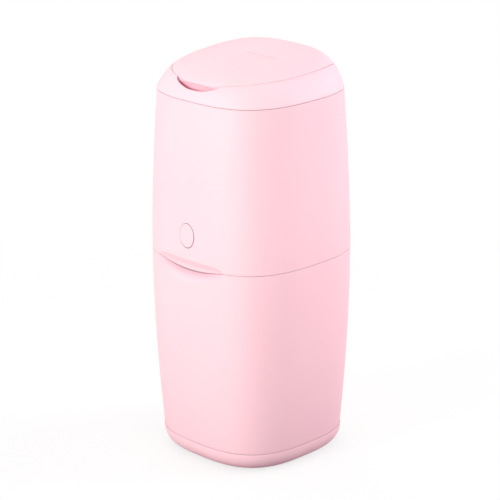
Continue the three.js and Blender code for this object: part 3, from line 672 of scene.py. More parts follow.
# %% Bosses and pads of the lower bin
BASE_SCREW_AT = 45
PLINTH_FLOOR = 4
SCREW_BORE = 1.8


def corners(at_x, at_y=None):
    """Four places, one in each corner, with their names."""
    at_y = at_x if at_y is None else at_y
    for y, front in ((-at_y, "front"), (at_y, "rear")):
        for x, side in ((-at_x, "left"), (at_x, "right")):
            yield x, y, f"{front}_{side}"


def screw_boss(radius, length, ease=0.3, steps=32):
    """A tube that a screw goes into."""
    return turned(tube_profile(radius, SCREW_BORE, length, ease), steps)


for x, y, _ in corners(BASE_SCREW_AT):
    boss = screw_boss(5, low - PLINTH_FLOOR)
    join(lower, placed(boss, at=(x, y, PLINTH_FLOOR + 0.3)))
keeper_pad = block((-14, -118.5, 236), (14, -116.3, 262))
cutter_pad = block((116.1, -15, 245), (118.5, 15, 272))
join(lower, keeper_pad, cutter_pad)
finished(lower, "lower_bin_shell", pink_plastic, "base", ["lower_bin"])

# %% [markdown]
# ## The upper housing
# The upper half is an open sleeve, so its outline is a closed loop that leaves both ends
# open. It gets the same scoop, and an oval hole for the button. That hole has a crisp edge
# all round, so it is cut with a Boolean.

# %% The upper housing
low, high = MID_SEAM_Z + HALF_SEAM, TOP_Z
outside = heights((low + 1.5, 0), (305, 1.2), (348, 3), (high - 3, 8))
inside = heights((high - 3, 0), (348, 10), (305, 3), (low + 1.5, 1.4))
line = [
    *rim_arc(half_width(low) - WALL + RIM_ROUND, low + RIM_ROUND, RIM_ROUND, 180, 270),
    *rim_arc(half_width(low) - RIM_ROUND, low + RIM_ROUND, RIM_ROUND, 270, 360),
    *[(half_width(z), z) for z in outside],
    *rim_arc(half_width(high) - RIM_ROUND, high - RIM_ROUND, RIM_ROUND, 0, 90),
    *rim_arc(half_width(high) - WALL + RIM_ROUND, high - RIM_ROUND, RIM_ROUND, 90, 180),
    *[(half_width(z) - WALL, z) for z in inside],
]
upper = lofted([soft_square(half, z) for half, z in line], SIDES)
follow_scoop(upper)
print("upper housing so far:", len(upper.faces), "faces")

# %% The button's hole
BUTTON_HALF_X, BUTTON_HALF_Z, BUTTON_Z = 13, 16.2, 324
BUTTON_GAP_X, BUTTON_GAP_Z = 0.75, 1.05
BUTTON_SIDES = 96


def flat_oval(half_x, half_z, y):
    """A ring in the upright plane at a depth y, round the button's middle."""
    return lambda a: (half_x * math.cos(a), y, BUTTON_Z + half_z * math.sin(a))


hole_size = (BUTTON_HALF_X + BUTTON_GAP_X, BUTTON_HALF_Z + BUTTON_GAP_Z)
hole_rings = [
    flat_oval(0, 0, -126),
    flat_oval(*hole_size, -126),
    flat_oval(*hole_size, -110),
    flat_oval(0, 0, -110),
]
upper = cut_from(upper, lofted(hole_rings, BUTTON_SIDES, closed=False))
print("with the button's hole:", len(upper.faces), "faces")

# %% [markdown]
# ## The upper housing's knuckles
# The upper half has the two knuckles that fit between the three of the lower bin, with a
# little play at each end. The helper from there makes them, so that both rows share one axis.

# %% The upper housing's knuckles
upper_spans = [(-28.3, -8.3), (8.3, 28.3)]
join(upper, *body_knuckles(upper_spans, MID_SEAM_Z + 0.3, MID_SEAM_Z + 8))
print("with knuckles:", len(upper.faces), "faces")

# %% [markdown]
# ## Posts and webs in the corners
# The cassette's tray is screwed to four posts, each tied to its corner by a rib. Higher up, a
# flat web closes each corner and carries a screw of the collar. The four webs are what is
# left of a plate when a cross and a round hole are taken out of it.

# %% Posts and webs in the corners
POST_AT = 76
POST_LOW, POST_HIGH = 410, 436.4
WEB_LOW, WEB_HIGH = 488, 491
CUT_LOW, CUT_HIGH = 480, 500

for x, y, _ in corners(POST_AT):
    post = screw_boss(6, POST_HIGH - POST_LOW, ease=0.5, steps=48)
    rib = block((106.5, -1.5, POST_LOW + 0.2), (127, 1.5, POST_HIGH - 0.2))
    placed(rib, turn=(0, 0, math.degrees(math.atan2(y, x))))
    join(upper, placed(post, at=(x, y, POST_LOW)), rib)

in_wall = half_width(WEB_LOW) - 1.5
webs = lofted(
    [
        point_at(WEB_LOW),
        soft_square(in_wall, WEB_LOW),
        soft_square(in_wall, WEB_HIGH),
        point_at(WEB_HIGH),
    ],
    96,
    closed=False,
)
for x, y in ((62, 130), (130, 62)):
    webs = cut_from(webs, block((-x, -y, CUT_LOW), (x, y, CUT_HIGH), ease=0))


def round_cutter(radius, steps):
    """A plain round bar that passes through the webs."""
    profile = [(0.0, CUT_LOW), (radius, CUT_LOW), (radius, CUT_HIGH), (0.0, CUT_HIGH)]
    return turned(profile, steps, closed=False)


webs = cut_from(webs, round_cutter(89, 96))
for x, y, _ in corners(POST_AT):
    webs = cut_from(webs, placed(round_cutter(2, 24), at=(x, y, 0)))
join(upper, webs)
print("with posts and webs:", len(upper.faces), "faces")

# %% [markdown]
# ## Behind the front wall
# The button slides in an oval sleeve that stands in from the wall. Two bosses beside the latch
# take the screws of its bracket.

# %% Behind the front wall
BRACKET_SCREW_AT, BRACKET_SCREW_Z = 27, 366
sleeve_rings = [
    flat_oval(16.5, 20.5, -117.5),
    flat_oval(16.5, 20.5, -108.3),
    flat_oval(16.2, 20.2, -108),
    flat_oval(15.2, 19.2, -108),
    flat_oval(14.9, 18.9, -108.3),
    flat_oval(14.9, 18.9, -117.5),
]
join(upper, lofted(sleeve_rings, BUTTON_SIDES))
for x in (-BRACKET_SCREW_AT, BRACKET_SCREW_AT):
    boss = placed(screw_boss(4, 6.5), turn=(-90, 0, 0), at=(x, -116.5, BRACKET_SCREW_Z))
    join(upper, boss)
finished(upper, "upper_housing_shell", pink_plastic, "upper", ["upper_housing"])

# %% [markdown]
# ## The dome
# The top is a low dome whose edge curves down into the sides, and it rises a little to the
# back. Collar and lid are both cut from this one surface, so that they run on from each other
# with only a fine gap between them.

# %% The dome
DOME_RISE, DOME_TILT = 45.83, 0.084
SIDE_CURVE, CROWN_CURVE = 6.018, 1.216


def dome_z(x, y):
    """Height of the dome over a point of the plan."""
    powers = (abs(x) / TOP_HALF) ** BODY_POWER + (abs(y) / TOP_HALF) ** BODY_POWER
    ratio = powers ** (1 / BODY_POWER)
    share = max(0, 1 - min(ratio, 1) ** SIDE_CURVE) ** (1 / CROWN_CURVE)
    return TOP_Z + (DOME_RISE + DOME_TILT * y) * share


def on_dome(outline, drop=0.0):
    """A ring on the dome over an outline in plan, or under it by a drop."""

    def ring(angle):
        x, y = outline(angle)
        return (x, y, dome_z(x, y) - drop)

    return ring


def at_height(outline, z):
    """A flat ring over an outline in plan."""
    return lambda angle: (*outline(angle), z)


def between(first, second, share):
    """An outline part of the way from one outline to another."""

    def outline(angle):
        a, b = first(angle), second(angle)
        return (a[0] + (b[0] - a[0]) * share, a[1] + (b[1] - a[1]) * share)

    return outline


print("dome height in the middle:", round(dome_z(0, 0), 1))

# %% [markdown]
# ## The top collar
# The collar is the ring round the lid. From the seam it climbs the dome's edge to the lid's
# gap, goes down to the ledge that the seal lies on, in to the round mouth, and back out below.

# %% The top collar
LID_HALF_X, LID_HALF_Y, LID_POWER, LID_CENTRE_Y = 94, 102.2, 2.6, 4.6
LID_GAP, SWING_ROOM = 0.5, 1
LEDGE_TOP = 506
MOUTH_RADIUS = 87
CLIMB_RINGS = 26
collar_bottom = TOP_Z + 0.3


def foot_of_dome(inset):
    """The top seam's outline, moved in from its edge."""
    return lambda angle: oval(TOP_HALF - inset, TOP_HALF - inset, BODY_POWER, angle)


def lid_hole(inset):
    """The outline of the hole that the lid lies in, with more room behind the lid."""
    half_x = LID_HALF_X + LID_GAP - inset
    half_y = LID_HALF_Y + LID_GAP + SWING_ROOM / 2 - inset
    return lambda angle: oval(half_x, half_y, LID_POWER, angle, LID_CENTRE_Y + SWING_ROOM / 2)


def mouth(radius):
    """The round mouth."""
    return lambda angle: (radius * math.cos(angle), radius * math.sin(angle))


def rounded_edge(outline, inward):
    """Rings over an edge of the dome, from the surface round to the upright wall."""
    edge_round = [(0.9, 0), (0.45, 0), (0.15, 0.12), (0, 0.45), (0, 1.2)]
    return [on_dome(outline(inward * inset), drop) for inset, drop in edge_round]


climb = [(i / CLIMB_RINGS) ** 2.2 for i in range(1, CLIMB_RINGS)]
rings = [
    at_height(mouth(MOUTH_RADIUS + 0.5), collar_bottom),
    at_height(mouth(MOUTH_RADIUS + 8), collar_bottom),
    at_height(foot_of_dome(3), collar_bottom),
    at_height(foot_of_dome(0.6), collar_bottom),
    at_height(foot_of_dome(0.25), collar_bottom + 0.25),
    *[on_dome(between(foot_of_dome(0.15), lid_hole(-0.9), share)) for share in climb],
    *rounded_edge(lid_hole, -1),
    at_height(lid_hole(0), LEDGE_TOP + 1),
    at_height(lid_hole(0.3), LEDGE_TOP + 0.3),
    at_height(lid_hole(1), LEDGE_TOP),
    at_height(mouth(MOUTH_RADIUS + 0.5), LEDGE_TOP),
    at_height(mouth(MOUTH_RADIUS), LEDGE_TOP - 0.5),
    at_height(mouth(MOUTH_RADIUS), collar_bottom + 0.5),
]
collar = lofted(rings, SIDES)
print("collar so far:", len(collar.faces), "faces")

# %% [markdown]
# ## The thumb notch
# At the front, a lens-shaped hollow lets a thumb reach under the lid's edge. A ball is
# stretched until it follows that edge, and then taken out of the collar.

# %% The thumb notch
NOTCH_HALF, NOTCH_OUT, NOTCH_DOWN = 41, 9.5, 12
NOTCH_Z, NOTCH_RISE = 525, 2.5


def ball_along_edge(half, out, down, z):
    """A ball stretched along the lid's front edge, a little higher at its ends."""
    bm = bmesh.new()
    bmesh.ops.create_uvsphere(bm, u_segments=96, v_segments=48, radius=1)
    placed(bm, turn=(0, 90, 0))
    for vert in bm.verts:
        x = vert.co.x * half
        edge_y = LID_HALF_Y * (1 - abs(x / LID_HALF_X) ** LID_POWER) ** (1 / LID_POWER)
        y = LID_CENTRE_Y - edge_y + vert.co.y * out
        vert.co = (x, y, z + NOTCH_RISE * vert.co.x**2 + vert.co.z * down)
    return bm


collar = cut_from(collar, ball_along_edge(NOTCH_HALF, NOTCH_OUT, NOTCH_DOWN, NOTCH_Z))
print("collar with its notch:", len(collar.faces), "faces")

# %% [markdown]
# ## The lid's hinge
# Behind the lid, two small knuckles stand up from the collar on webs. The lid has one long
# knuckle between them. Four bosses under the collar's ledge take its screws.

# %% The lid's hinge
LID_PIVOT = (109.5, 523.5)
LID_KNUCKLE, LID_PIN = 4.0, 1.6

for x0, x1 in ((-34, -20), (20, 34)):
    web = block((x0 + WEB_INSET, 108.6, 508), (x1 - WEB_INSET, 112.4, LID_PIVOT[1]))
    join(collar, web, knuckle(LID_KNUCKLE, LID_PIN, x0, x1, *LID_PIVOT))
for x, y, _ in corners(POST_AT):
    boss = screw_boss(5, LEDGE_TOP - 1 - WEB_HIGH)
    join(collar, placed(boss, at=(x, y, WEB_HIGH + 0.3)))
finished(collar, "top_collar_shell", pink_plastic, "upper", ["top_collar"])

# %% [markdown]
# ## The lid
# The lid is a cap cut from the dome, with a lip that turns down into the collar's hole and a
# skirt under it that presses on the seal.

# %% The lid
LID_SKIN = 3.2
LIP_BOTTOM, SKIRT_BOTTOM = 516.5, 508.9


def lid_edge(inset):
    """The lid's outline, moved in from its edge."""
    half_x, half_y = LID_HALF_X - inset, LID_HALF_Y - inset
    return lambda angle: oval(half_x, half_y, LID_POWER, angle, LID_CENTRE_Y)


def centre(angle):
    """The middle of the lid in plan."""
    return (0, LID_CENTRE_Y)


outwards = [0.12, 0.24, 0.36, 0.48, 0.6, 0.7, 0.78, 0.85, 0.9, 0.94, 0.97, 0.985]
rings = [
    on_dome(centre),
    *[on_dome(between(centre, lid_edge(0.9), share)) for share in outwards],
    *rounded_edge(lid_edge, 1),
    at_height(lid_edge(0), LIP_BOTTOM + 0.4),
    at_height(lid_edge(0.4), LIP_BOTTOM),
    at_height(lid_edge(1), LIP_BOTTOM),
    at_height(lid_edge(1), SKIRT_BOTTOM + 0.4),
    at_height(lid_edge(1.4), SKIRT_BOTTOM),
    at_height(lid_edge(3.1), SKIRT_BOTTOM),
    at_height(lid_edge(3.5), SKIRT_BOTTOM + 0.4),
    at_height(lid_edge(3.5), LIP_BOTTOM),
    on_dome(lid_edge(4.5), LID_SKIN + 1),
    on_dome(lid_edge(7), LID_SKIN),
    *[on_dome(between(centre, lid_edge(7), share), LID_SKIN) for share in (0.9, 0.75, 0.5, 0.25)],
    on_dome(centre, LID_SKIN),
]
lid = lofted(rings, SIDES, closed=False)
print("lid so far:", len(lid.faces), "faces")

# %% [markdown]
# ## The lid's undercut and crease
# Behind the thumb notch, the lid's skirt is hollowed for a fingertip. The photo also shows a
# very fine crease across the lid. It is cut by a thin strip that follows the dome: a grid of
# one row is laid on the dome, and then given its height. Towards both ends the strip rises
# out of the surface, so that the crease fades out.

# %% The lid's undercut
UNDERCUT_IN, UNDERCUT_DOWN, UNDERCUT_Z = 2.4, 12, 513
lid = cut_from(lid, ball_along_edge(NOTCH_HALF, UNDERCUT_IN, UNDERCUT_DOWN, UNDERCUT_Z))
print("lid with its undercut:", len(lid.faces), "faces")

# %% The crease
CREASE_FROM, CREASE_TO, CREASE_FADE = -24, 64, 22
CREASE_WIDE, CREASE_DEEP = 0.7, 0.32
STRIP_LIFT, STRIP_HEIGHT = 0.2, 4
strip = bmesh.new()
bmesh.ops.create_grid(strip, x_segments=60, y_segments=1, size=0.5)
for vert in strip.verts:
    x = CREASE_FROM + (CREASE_TO - CREASE_FROM) * (vert.co.x + 0.5)
    y = vert.co.y * CREASE_WIDE
    fade = min(1, (x - CREASE_FROM) / CREASE_FADE, (CREASE_TO - x) / CREASE_FADE)
    vert.co = (x, y, dome_z(x, y) + STRIP_LIFT - (CREASE_DEEP + STRIP_LIFT) * fade)
top_of_strip = bmesh.ops.extrude_face_region(strip, geom=strip.faces[:])["geom"]
raised = [part for part in top_of_strip if isinstance(part, bmesh.types.BMVert)]
bmesh.ops.translate(strip, vec=(0, 0, STRIP_HEIGHT), verts=raised)
bmesh.ops.recalc_face_normals(strip, faces=strip.faces)
lid = cut_from(lid, strip)
print("lid with its crease:", len(lid.faces), "faces")

# %% [markdown]
# ## The lid's knuckle
# One long knuckle fills the room between the collar's two, so that the lid can't slide along
# its pin. A flat web ties it to the lid's back edge.

# %% The lid's knuckle
lid_web = block((-19.4, 101, LID_PIVOT[1]), (19.4, LID_PIVOT[0], LID_PIVOT[1] + LID_KNUCKLE))
join(lid, lid_web, knuckle(LID_KNUCKLE, LID_PIN, -19.6, 19.6, *LID_PIVOT))
finished(lid, "lid_panel", pink_plastic, "lid", ["lid_shell"])

# %% [markdown]
# ## The release button
# The button is an oval of the front wall itself: it has the wall's own curve, and only the
# fine gap round it shows. It has play in its hole, as on the real bin, so the gap is wider on
# one side. Its outermost vertices get the mark "gap", which paints the gap's shade onto its
# wall as grey. A rim behind the wall keeps it from falling out, and a stem reaches back to the
# latch.

# %% The release button
BUTTON_PLAY = -0.55
RIM_FRONT, RIM_BACK = -116.1, -114.1


def on_front(half_x, half_z, inset):
    """An oval ring on the front wall, or behind it by an inset."""

    def ring(angle):
        x, z = BUTTON_PLAY + half_x * math.cos(angle), BUTTON_Z + half_z * math.sin(angle)
        half = half_width(z)
        y = -half * (1 - abs(x / half) ** BODY_POWER) ** (1 / BODY_POWER)
        return (x, y + inset, z)

    return ring


def grown(ring, by, depth):
    """A ring of the button's size, grown by a little, at a depth."""
    return ring(BUTTON_HALF_X + by, BUTTON_HALF_Z + by, depth)


face_shares = (0, 0.2, 0.4, 0.6, 0.8, 0.92)
cap_edge = [(-0.25, 0), (-0.07, 0.07), (0, 0.25)]
rim = [
    (0, RIM_FRONT),
    (1.2, RIM_FRONT),
    (1.5, RIM_FRONT + 0.3),
    (1.5, RIM_BACK - 0.3),
    (1.2, RIM_BACK),
]
rings = [on_front(BUTTON_HALF_X * s, BUTTON_HALF_Z * s, 0) for s in face_shares]
rings += [grown(on_front, by, inset) for by, inset in cap_edge]
rings += [grown(flat_oval, by, y) for by, y in rim]
rings.append(flat_oval(0, 0, RIM_BACK))
button = lofted(rings, BUTTON_SIDES, closed=False)
print("button so far:", len(button.faces), "faces")

# %% The button's mark and stem
# The mark paints grey shade onto the button's outermost edge.
AT_THE_EDGE = 0.999
gap = button.verts.layers.float.new("gap")
for vert in button.verts:
    across = (vert.co.x - BUTTON_PLAY) / BUTTON_HALF_X
    upward = (vert.co.z - BUTTON_Z) / BUTTON_HALF_Z
    if math.hypot(across, upward) > AT_THE_EDGE:
        vert[gap] = 1
stem = turned([(0.0, 0), (5, 0), (5, 11), (4.6, 11.6), (2, 12.8), (0.0, 12.8)], 48, closed=False)
join(button, placed(stem, turn=(-90, 0, 0), at=(0, RIM_BACK, BUTTON_Z)))
finished(button, "release_button_cap", pink_plastic, "button", ["release_button"])

# %% [markdown]
# ## The base plinth
# The plinth is a shallow dish under the bin. Its side rounds in to the floor, so that the
# bin seems to float, and it stands a hair proud of the shell above.

# %% The base plinth
PLINTH_HALF, PLINTH_FOOT, PLINTH_TOP, PLINTH_ROUND = 109.5, 88, 26.5, 24
PLINTH_RIM = 3.2


def quarter(foot, half, bottom, height, count):
    """Rings of a side that rounds in from upright to flat."""
    points = []
    for i in range(count + 1):
        angle = math.pi / 2 * i / count
        points.append(
            (foot + (half - foot) * math.sin(angle), bottom + height * (1 - math.cos(angle)))
        )
    return points


outer = quarter(PLINTH_FOOT, PLINTH_HALF, 0, PLINTH_ROUND, 20)
inner = quarter(
    PLINTH_FOOT - PLINTH_RIM,
    PLINTH_HALF - PLINTH_RIM,
    PLINTH_FLOOR,
    PLINTH_ROUND - PLINTH_FLOOR,
    10,
)
line = [
    (0.0, 0),
    (60, 0),
    (PLINTH_FOOT - 3, 0),
    *outer,
    (PLINTH_HALF, PLINTH_TOP - 1),
    *rim_arc(PLINTH_HALF - 0.25, PLINTH_TOP - 0.25, 0.25, 0, 90, 2),
    *rim_arc(PLINTH_HALF - PLINTH_RIM + 0.4, PLINTH_TOP - 0.4, 0.4, 90, 180),
    *reversed(inner),
    (60, PLINTH_FLOOR),
    (0.0, PLINTH_FLOOR),
]
rings = [soft_square(half, z) if half else point_at(z) for half, z in line]
plinth = lofted(rings, SIDES // 2, closed=False)
print("plinth so far:", len(plinth.faces), "faces")

# %% [markdown]
# ## Recesses under the plinth
# Round recesses take the rubber feet, and stepped holes take the screws. All eight cutters
# are one mesh, so one Boolean does.

# %% Recesses under the plinth
FOOT_AT, FOOT_RADIUS, FOOT_THICK = 60, 8.5, 1.8
pad_recess = [(0.0, -1), (8.8, -1), (8.8, 2.1), (0.0, 2.1)]
stepped_hole = [(0.0, -1), (4.4, -1), (4.4, 2.4), (2, 2.4), (2, 6), (0.0, 6)]
cutters = bmesh.new()
for profile, at in ((pad_recess, FOOT_AT), (stepped_hole, BASE_SCREW_AT)):
    for x, y, _ in corners(at):
        join(cutters, placed(turned(profile, 40, closed=False), at=(x, y, 0)))
plinth = cut_from(plinth, cutters)
finished(plinth, "base_plinth_dish", pink_plastic, "base", ["base_plinth"])

# %% [markdown]
# ## White and milky plastic
# Five more finishes are needed for the inner pieces. The white polypropylene of the latch and
# the clamp and the milky plastic of the cassette are like the pink one, only plainer. The
# cassette is smoother, with a thin clear coat, as such throw-away mouldings shine more.

# %% White and milky plastic
inner_white, shader = surface("inner_white", roughness=0.46)
drifting_colour(inner_white, shader, seen(234, 232, 233), seen(241, 239, 240), scale=11)
drifting_gloss(inner_white, shader, 0.4, 0.52, scale=30)
# Painted shade: the white turns grey in crevices within 2 mm.
crevice_shade(inner_white, shader, seen(120, 116, 118), reach=0.002)
grain(inner_white, shader, scale=2400, height=0.00003, strength=0.5)

cassette_plastic, shader = surface("cassette_plastic", roughness=0.34, coat=0.15)
drifting_colour(cassette_plastic, shader, seen(222, 231, 236), seen(231, 238, 242), scale=16)
drifting_gloss(cassette_plastic, shader, 0.28, 0.4, scale=40)
grain(cassette_plastic, shader, scale=1500, height=0.00003, strength=0.4)
print("made", inner_white.name, "and", cassette_plastic.name)

# %% [markdown]
# ## Rubber
# Moulded rubber is dull and slightly pitted. So its roughness is high, its relief is deeper
# and finer than that of the plastics, and its grey drifts in small specks.

# %% Rubber
grey_rubber, shader = surface("grey_rubber", roughness=0.8)
drifting_colour(grey_rubber, shader, seen(128, 126, 129), seen(143, 141, 144), scale=240)
drifting_gloss(grey_rubber, shader, 0.72, 0.88, scale=90)
grain(grey_rubber, shader, scale=3200, height=0.00008, strength=0.8, detail=4)
print("made", grey_rubber.name)

# %% [markdown]
# ## Steel
# Pins and rods are drawn through a die, which leaves fine lines along them. The same noise
# does it, stretched along X, where all the pins lie, by reading X at a twenty-fifth of its
# length. Anisotropic gloss could stand for the lines, but it shows none of them close up.

# %% Steel
steel, shader = surface("steel", roughness=0.3, metallic=1.0)
drifting_colour(steel, shader, seen(184, 187, 192), seen(204, 206, 210), scale=60)
drifting_gloss(steel, shader, 0.22, 0.38, scale=700, stretch=(0.04, 1, 1))
grain(steel, shader, scale=2600, height=0.00002, strength=0.5, stretch=(0.04, 1, 1))
print("made", steel.name)

# %% [markdown]
# ## Film
# The film is thin and glossy, and its creases run round the stack of pleats. So the noise is
# pressed together in height, which draws it out round the ring.

# %% Film
film, shader = surface("film", roughness=0.24, coat=0.4)
drifting_colour(film, shader, seen(236, 240, 244), seen(248, 250, 252), scale=90)
drifting_gloss(film, shader, 0.16, 0.34, scale=300, stretch=(1, 1, 5))
grain(film, shader, scale=420, height=0.0005, strength=0.6, detail=5, stretch=(1, 1, 4))
print("made", film.name)

# %% [markdown]
# ## Pieces by the name of their node
# The small pieces stand one for one for a node of the model, so the model's record can say
# which body each of them rides on. The piece takes the node's name with a word added.

# %% Pieces by the name of their node
BODY_OF = {}
for body_name, members in frame["record"]["behaviour"]["bodies"].items():
    for member in members:
        BODY_OF[member] = body_name


def stand_in(bm, node, word, material, sharp=35):
    """A finished piece that takes the place of one node."""
    return finished(bm, f"{node}_{word}", material, BODY_OF[node], [node], sharp)


def bar(radius, length, ease=0.4, steps=40):
    """A round bar along Z with eased ends."""
    profile = [
        (0.0, 0),
        (radius - ease, 0),
        (radius, ease),
        (radius, length - ease),
        (radius - ease, length),
        (0.0, length),
    ]
    return turned(profile, steps, closed=False)


def bar_along_x(radius, half_length, y, z):
    """A bar across the bin."""
    return placed(bar(radius, 2 * half_length), turn=(0, 90, 0), at=(-half_length, y, z))


LATCH_PIVOT = (-99, 370)
ROD_Y, ROD_Z, ROD_RADIUS = 46, 404, 2.5
pins = {
    "body_hinge_pin": (BODY_PIN, 45, *BODY_PIVOT),
    "lid_hinge_pin": (LID_PIN, 34, *LID_PIVOT),
    "latch_pivot_pin": (2, 20, *LATCH_PIVOT),
    "jaw_rod_front": (ROD_RADIUS, 83.8, -ROD_Y, ROD_Z),
    "jaw_rod_rear": (ROD_RADIUS, 83.8, ROD_Y, ROD_Z),
}
for node, size in pins.items():
    stand_in(bar_along_x(*size), node, "drawn", steel)

# %% [markdown]
# ## Outlines run out into bars
# A latch or a jaw has the same section all along. So its outline is drawn as one face of a few
# corners, extruded, and its edges are bevelled. The same helper gives the cross that is taken
# out of a screw's head.


# %% Outlines run out into bars
def extruded(points, axis, start, end, ease):
    """A closed outline run out along an axis, with its edges bevelled."""
    place = {
        "X": lambda a, b: (start, a, b),
        "Y": lambda a, b: (a, start, b),
        "Z": lambda a, b: (a, b, start),
    }[axis]
    bm = bmesh.new()
    face = bm.faces.new([bm.verts.new(place(a, b)) for a, b in points])
    run_out = bmesh.ops.extrude_face_region(bm, geom=[face])["geom"]
    far_end = [part for part in run_out if isinstance(part, bmesh.types.BMVert)]
    step = Vector([end - start if axis == letter else 0 for letter in "XYZ"])
    bmesh.ops.translate(bm, vec=step, verts=far_end)
    bmesh.ops.recalc_face_normals(bm, faces=bm.faces)
    return with_soft_edges(bm, ease)


# %% [markdown]
# ## Screws
# Eighteen pan-head screws hold the bin together. One turned profile gives the rounded head and
# the ridges of the thread, and a cross is cut into the head. The ridges are rings and not a
# real helix, which nobody can tell at this size.

# %% Screws
SCREW_HEAD, SCREW_SHANK = 3.5, 1.4
THREAD_PITCH, THREAD_DEPTH = 0.9, 0.35
CROSS_LONG, CROSS_WIDE = 1.9, 0.42


def screw(length, head_height=2.2):
    """A screw that points up, with the face of its head at height 0."""
    dome = [(0.0, 0), (1.7, 0.02), (2.6, 0.12), (3.1, 0.32), (3.4, 0.6), (SCREW_HEAD, 0.85)]
    profile = [(radius, rise * head_height) for radius, rise in dome]
    profile += [(SCREW_HEAD, head_height), (SCREW_SHANK, head_height)]
    z = head_height + 0.8
    while z < length - 1.8:
        profile += [(SCREW_SHANK - THREAD_DEPTH, z), (SCREW_SHANK, z + THREAD_DEPTH)]
        z += THREAD_PITCH
    profile += [(SCREW_SHANK - 0.4, length - 1), (0.0, length)]
    whole = turned(profile, 28, closed=False)
    plus = [(CROSS_LONG, CROSS_WIDE), (CROSS_WIDE, CROSS_WIDE), (CROSS_WIDE, CROSS_LONG)]
    for _ in range(3):
        plus += [(-b, a) for a, b in plus[-3:]]
    return cut_from(whole, extruded(plus, "Z", -1, 0.6 * head_height, ease=0))


base_screw, tray_screw = screw(15, 1.6), screw(15)
long_screw, short_screw = screw(16), screw(9)
print("four kinds of screw, the longest with", len(long_screw.faces), "faces")

# %% The screws in their places
CLAMP_POST = (74, 59)
places = {}
for x, y, corner in corners(BASE_SCREW_AT):
    places[f"base_screw_{corner}"] = (base_screw, (0, 0, 0), (x, y, 0.5))
for x, y, corner in corners(POST_AT):
    places[f"collar_screw_{corner}"] = (long_screw, (0, 0, 0), (x, y, 485.5))
    places[f"tray_screw_{corner}"] = (tray_screw, (180, 0, 0), (x, y, 442.2))
for x, y, corner in corners(*CLAMP_POST):
    places[f"clamp_screw_{corner}"] = (long_screw, (0, 0, 0), (x, y, 389.5))
for x, side in ((-BRACKET_SCREW_AT, "left"), (BRACKET_SCREW_AT, "right")):
    at = (x, -104.7, BRACKET_SCREW_Z)
    places[f"bracket_screw_{side}"] = (short_screw, (90, 0, 0), at)
for node, (kind, turn, at) in places.items():
    stand_in(placed(kind.copy(), turn, at), node, "cross_head", steel)

# %% [markdown]
# ## Springs
# A spring is a circle that is spun round the axis while it climbs a little at each step. The
# spin operator takes that climb as dvec, so no curve is needed. On the bin a spring is pressed
# together when its part moves, towards the end that stays; here each spring gets its own mesh,
# and the length that its joint would press it to is printed.

# %% Springs
STEPS_PER_TURN = 28


def coil_spring(radius, wire, length, turns):
    """A compression spring along Z, from height 0 to its length."""
    bm = bmesh.new()
    bmesh.ops.create_circle(bm, segments=10, radius=wire, cap_ends=False)
    placed(bm, turn=(90, 0, 0), at=(radius, 0, wire))
    steps = turns * STEPS_PER_TURN
    bmesh.ops.spin(
        bm,
        geom=bm.verts[:] + bm.edges[:],
        cent=(0, 0, 0),
        axis=(0, 0, 1),
        dvec=(0, 0, (length - 2 * wire) / steps),
        angle=2 * math.pi * turns,
        steps=steps,
    )
    bmesh.ops.holes_fill(bm, edges=[edge for edge in bm.edges if edge.is_boundary])
    bmesh.ops.recalc_face_normals(bm, faces=bm.faces)
    return bm


def shortens(spring, joint, length, travel):
    """Gives a spring its own mesh and prints how far a joint would press it together."""
    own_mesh(spring)
    print(f"{spring.name}: from {length} to {length - travel:.1f} mm with {joint}")


# %% The latch's spring
LATCH_SPRING, PRESS = 10.4, 4.1
LATCH_SPRING_Y = -96.7
latch_spring = coil_spring(3.6, 0.5, LATCH_SPRING, 5)
placed(latch_spring, turn=(-90, 0, 0), at=(0, LATCH_SPRING_Y, BUTTON_Z))
latch_spring = stand_in(latch_spring, "latch_spring", "wound", steel)
shortens(latch_spring, "button_press", LATCH_SPRING, PRESS)

# %% The jaws' springs
JAW_SPRING, JAW_TRAVEL = 47.4, 25.1
JAW_SPRING_X, JAW_SPRING_Z = 34.3, 406
for way, side in ((-1, "left"), (1, "right")):
    jaw_spring = coil_spring(4.2, 0.6, JAW_SPRING, 7)
    placed(jaw_spring, turn=(0, 90 * way, 0), at=(JAW_SPRING_X * way, 0, JAW_SPRING_Z))
    jaw_spring = stand_in(jaw_spring, f"jaw_spring_{side}", "wound", steel)
    shortens(jaw_spring, f"jaw_{side}_slide", JAW_SPRING, JAW_TRAVEL)

# %% [markdown]
# ## Rubber feet and the lid's seal
# Each foot is a disc with two shallow rings in its underside, so that it grips. The seal
# follows the lid's outline, and two thin lips on top meet the skirt.

# %% Rubber feet
foot_profile = [(0.0, 0.35), (2, 0.35), (2.2, 0), (4.2, 0), (4.4, 0.35), (5.8, 0.35), (6, 0)]
foot_profile += [(FOOT_RADIUS - 0.5, 0), (FOOT_RADIUS, 0.5), (FOOT_RADIUS, FOOT_THICK)]
foot_profile += [(0.0, FOOT_THICK)]
for x, y, corner in corners(FOOT_AT):
    foot = placed(turned(foot_profile, 64, closed=False), at=(x, y, 0))
    stand_in(foot, f"foot_pad_{corner}", "ringed", grey_rubber)

# %% The lid's seal
SEAL_LOW, SEAL_HIGH = 506.3, 508.6
seal_section = [(0.7, SEAL_LOW + 0.3), (1.0, SEAL_LOW), (3.9, SEAL_LOW), (4.2, SEAL_LOW + 0.3)]
seal_section += [(4.2, SEAL_HIGH - 0.3), (3.9, SEAL_HIGH), (3.5, SEAL_HIGH)]
seal_section += [(3.1, SEAL_HIGH - 0.5), (1.8, SEAL_HIGH - 0.5)]
seal_section += [(1.4, SEAL_HIGH), (1.0, SEAL_HIGH), (0.7, SEAL_HIGH - 0.3)]
seal = lofted([at_height(lid_edge(inset), z) for inset, z in seal_section], 240)
stand_in(seal, "lid_seal", "lipped", grey_rubber)

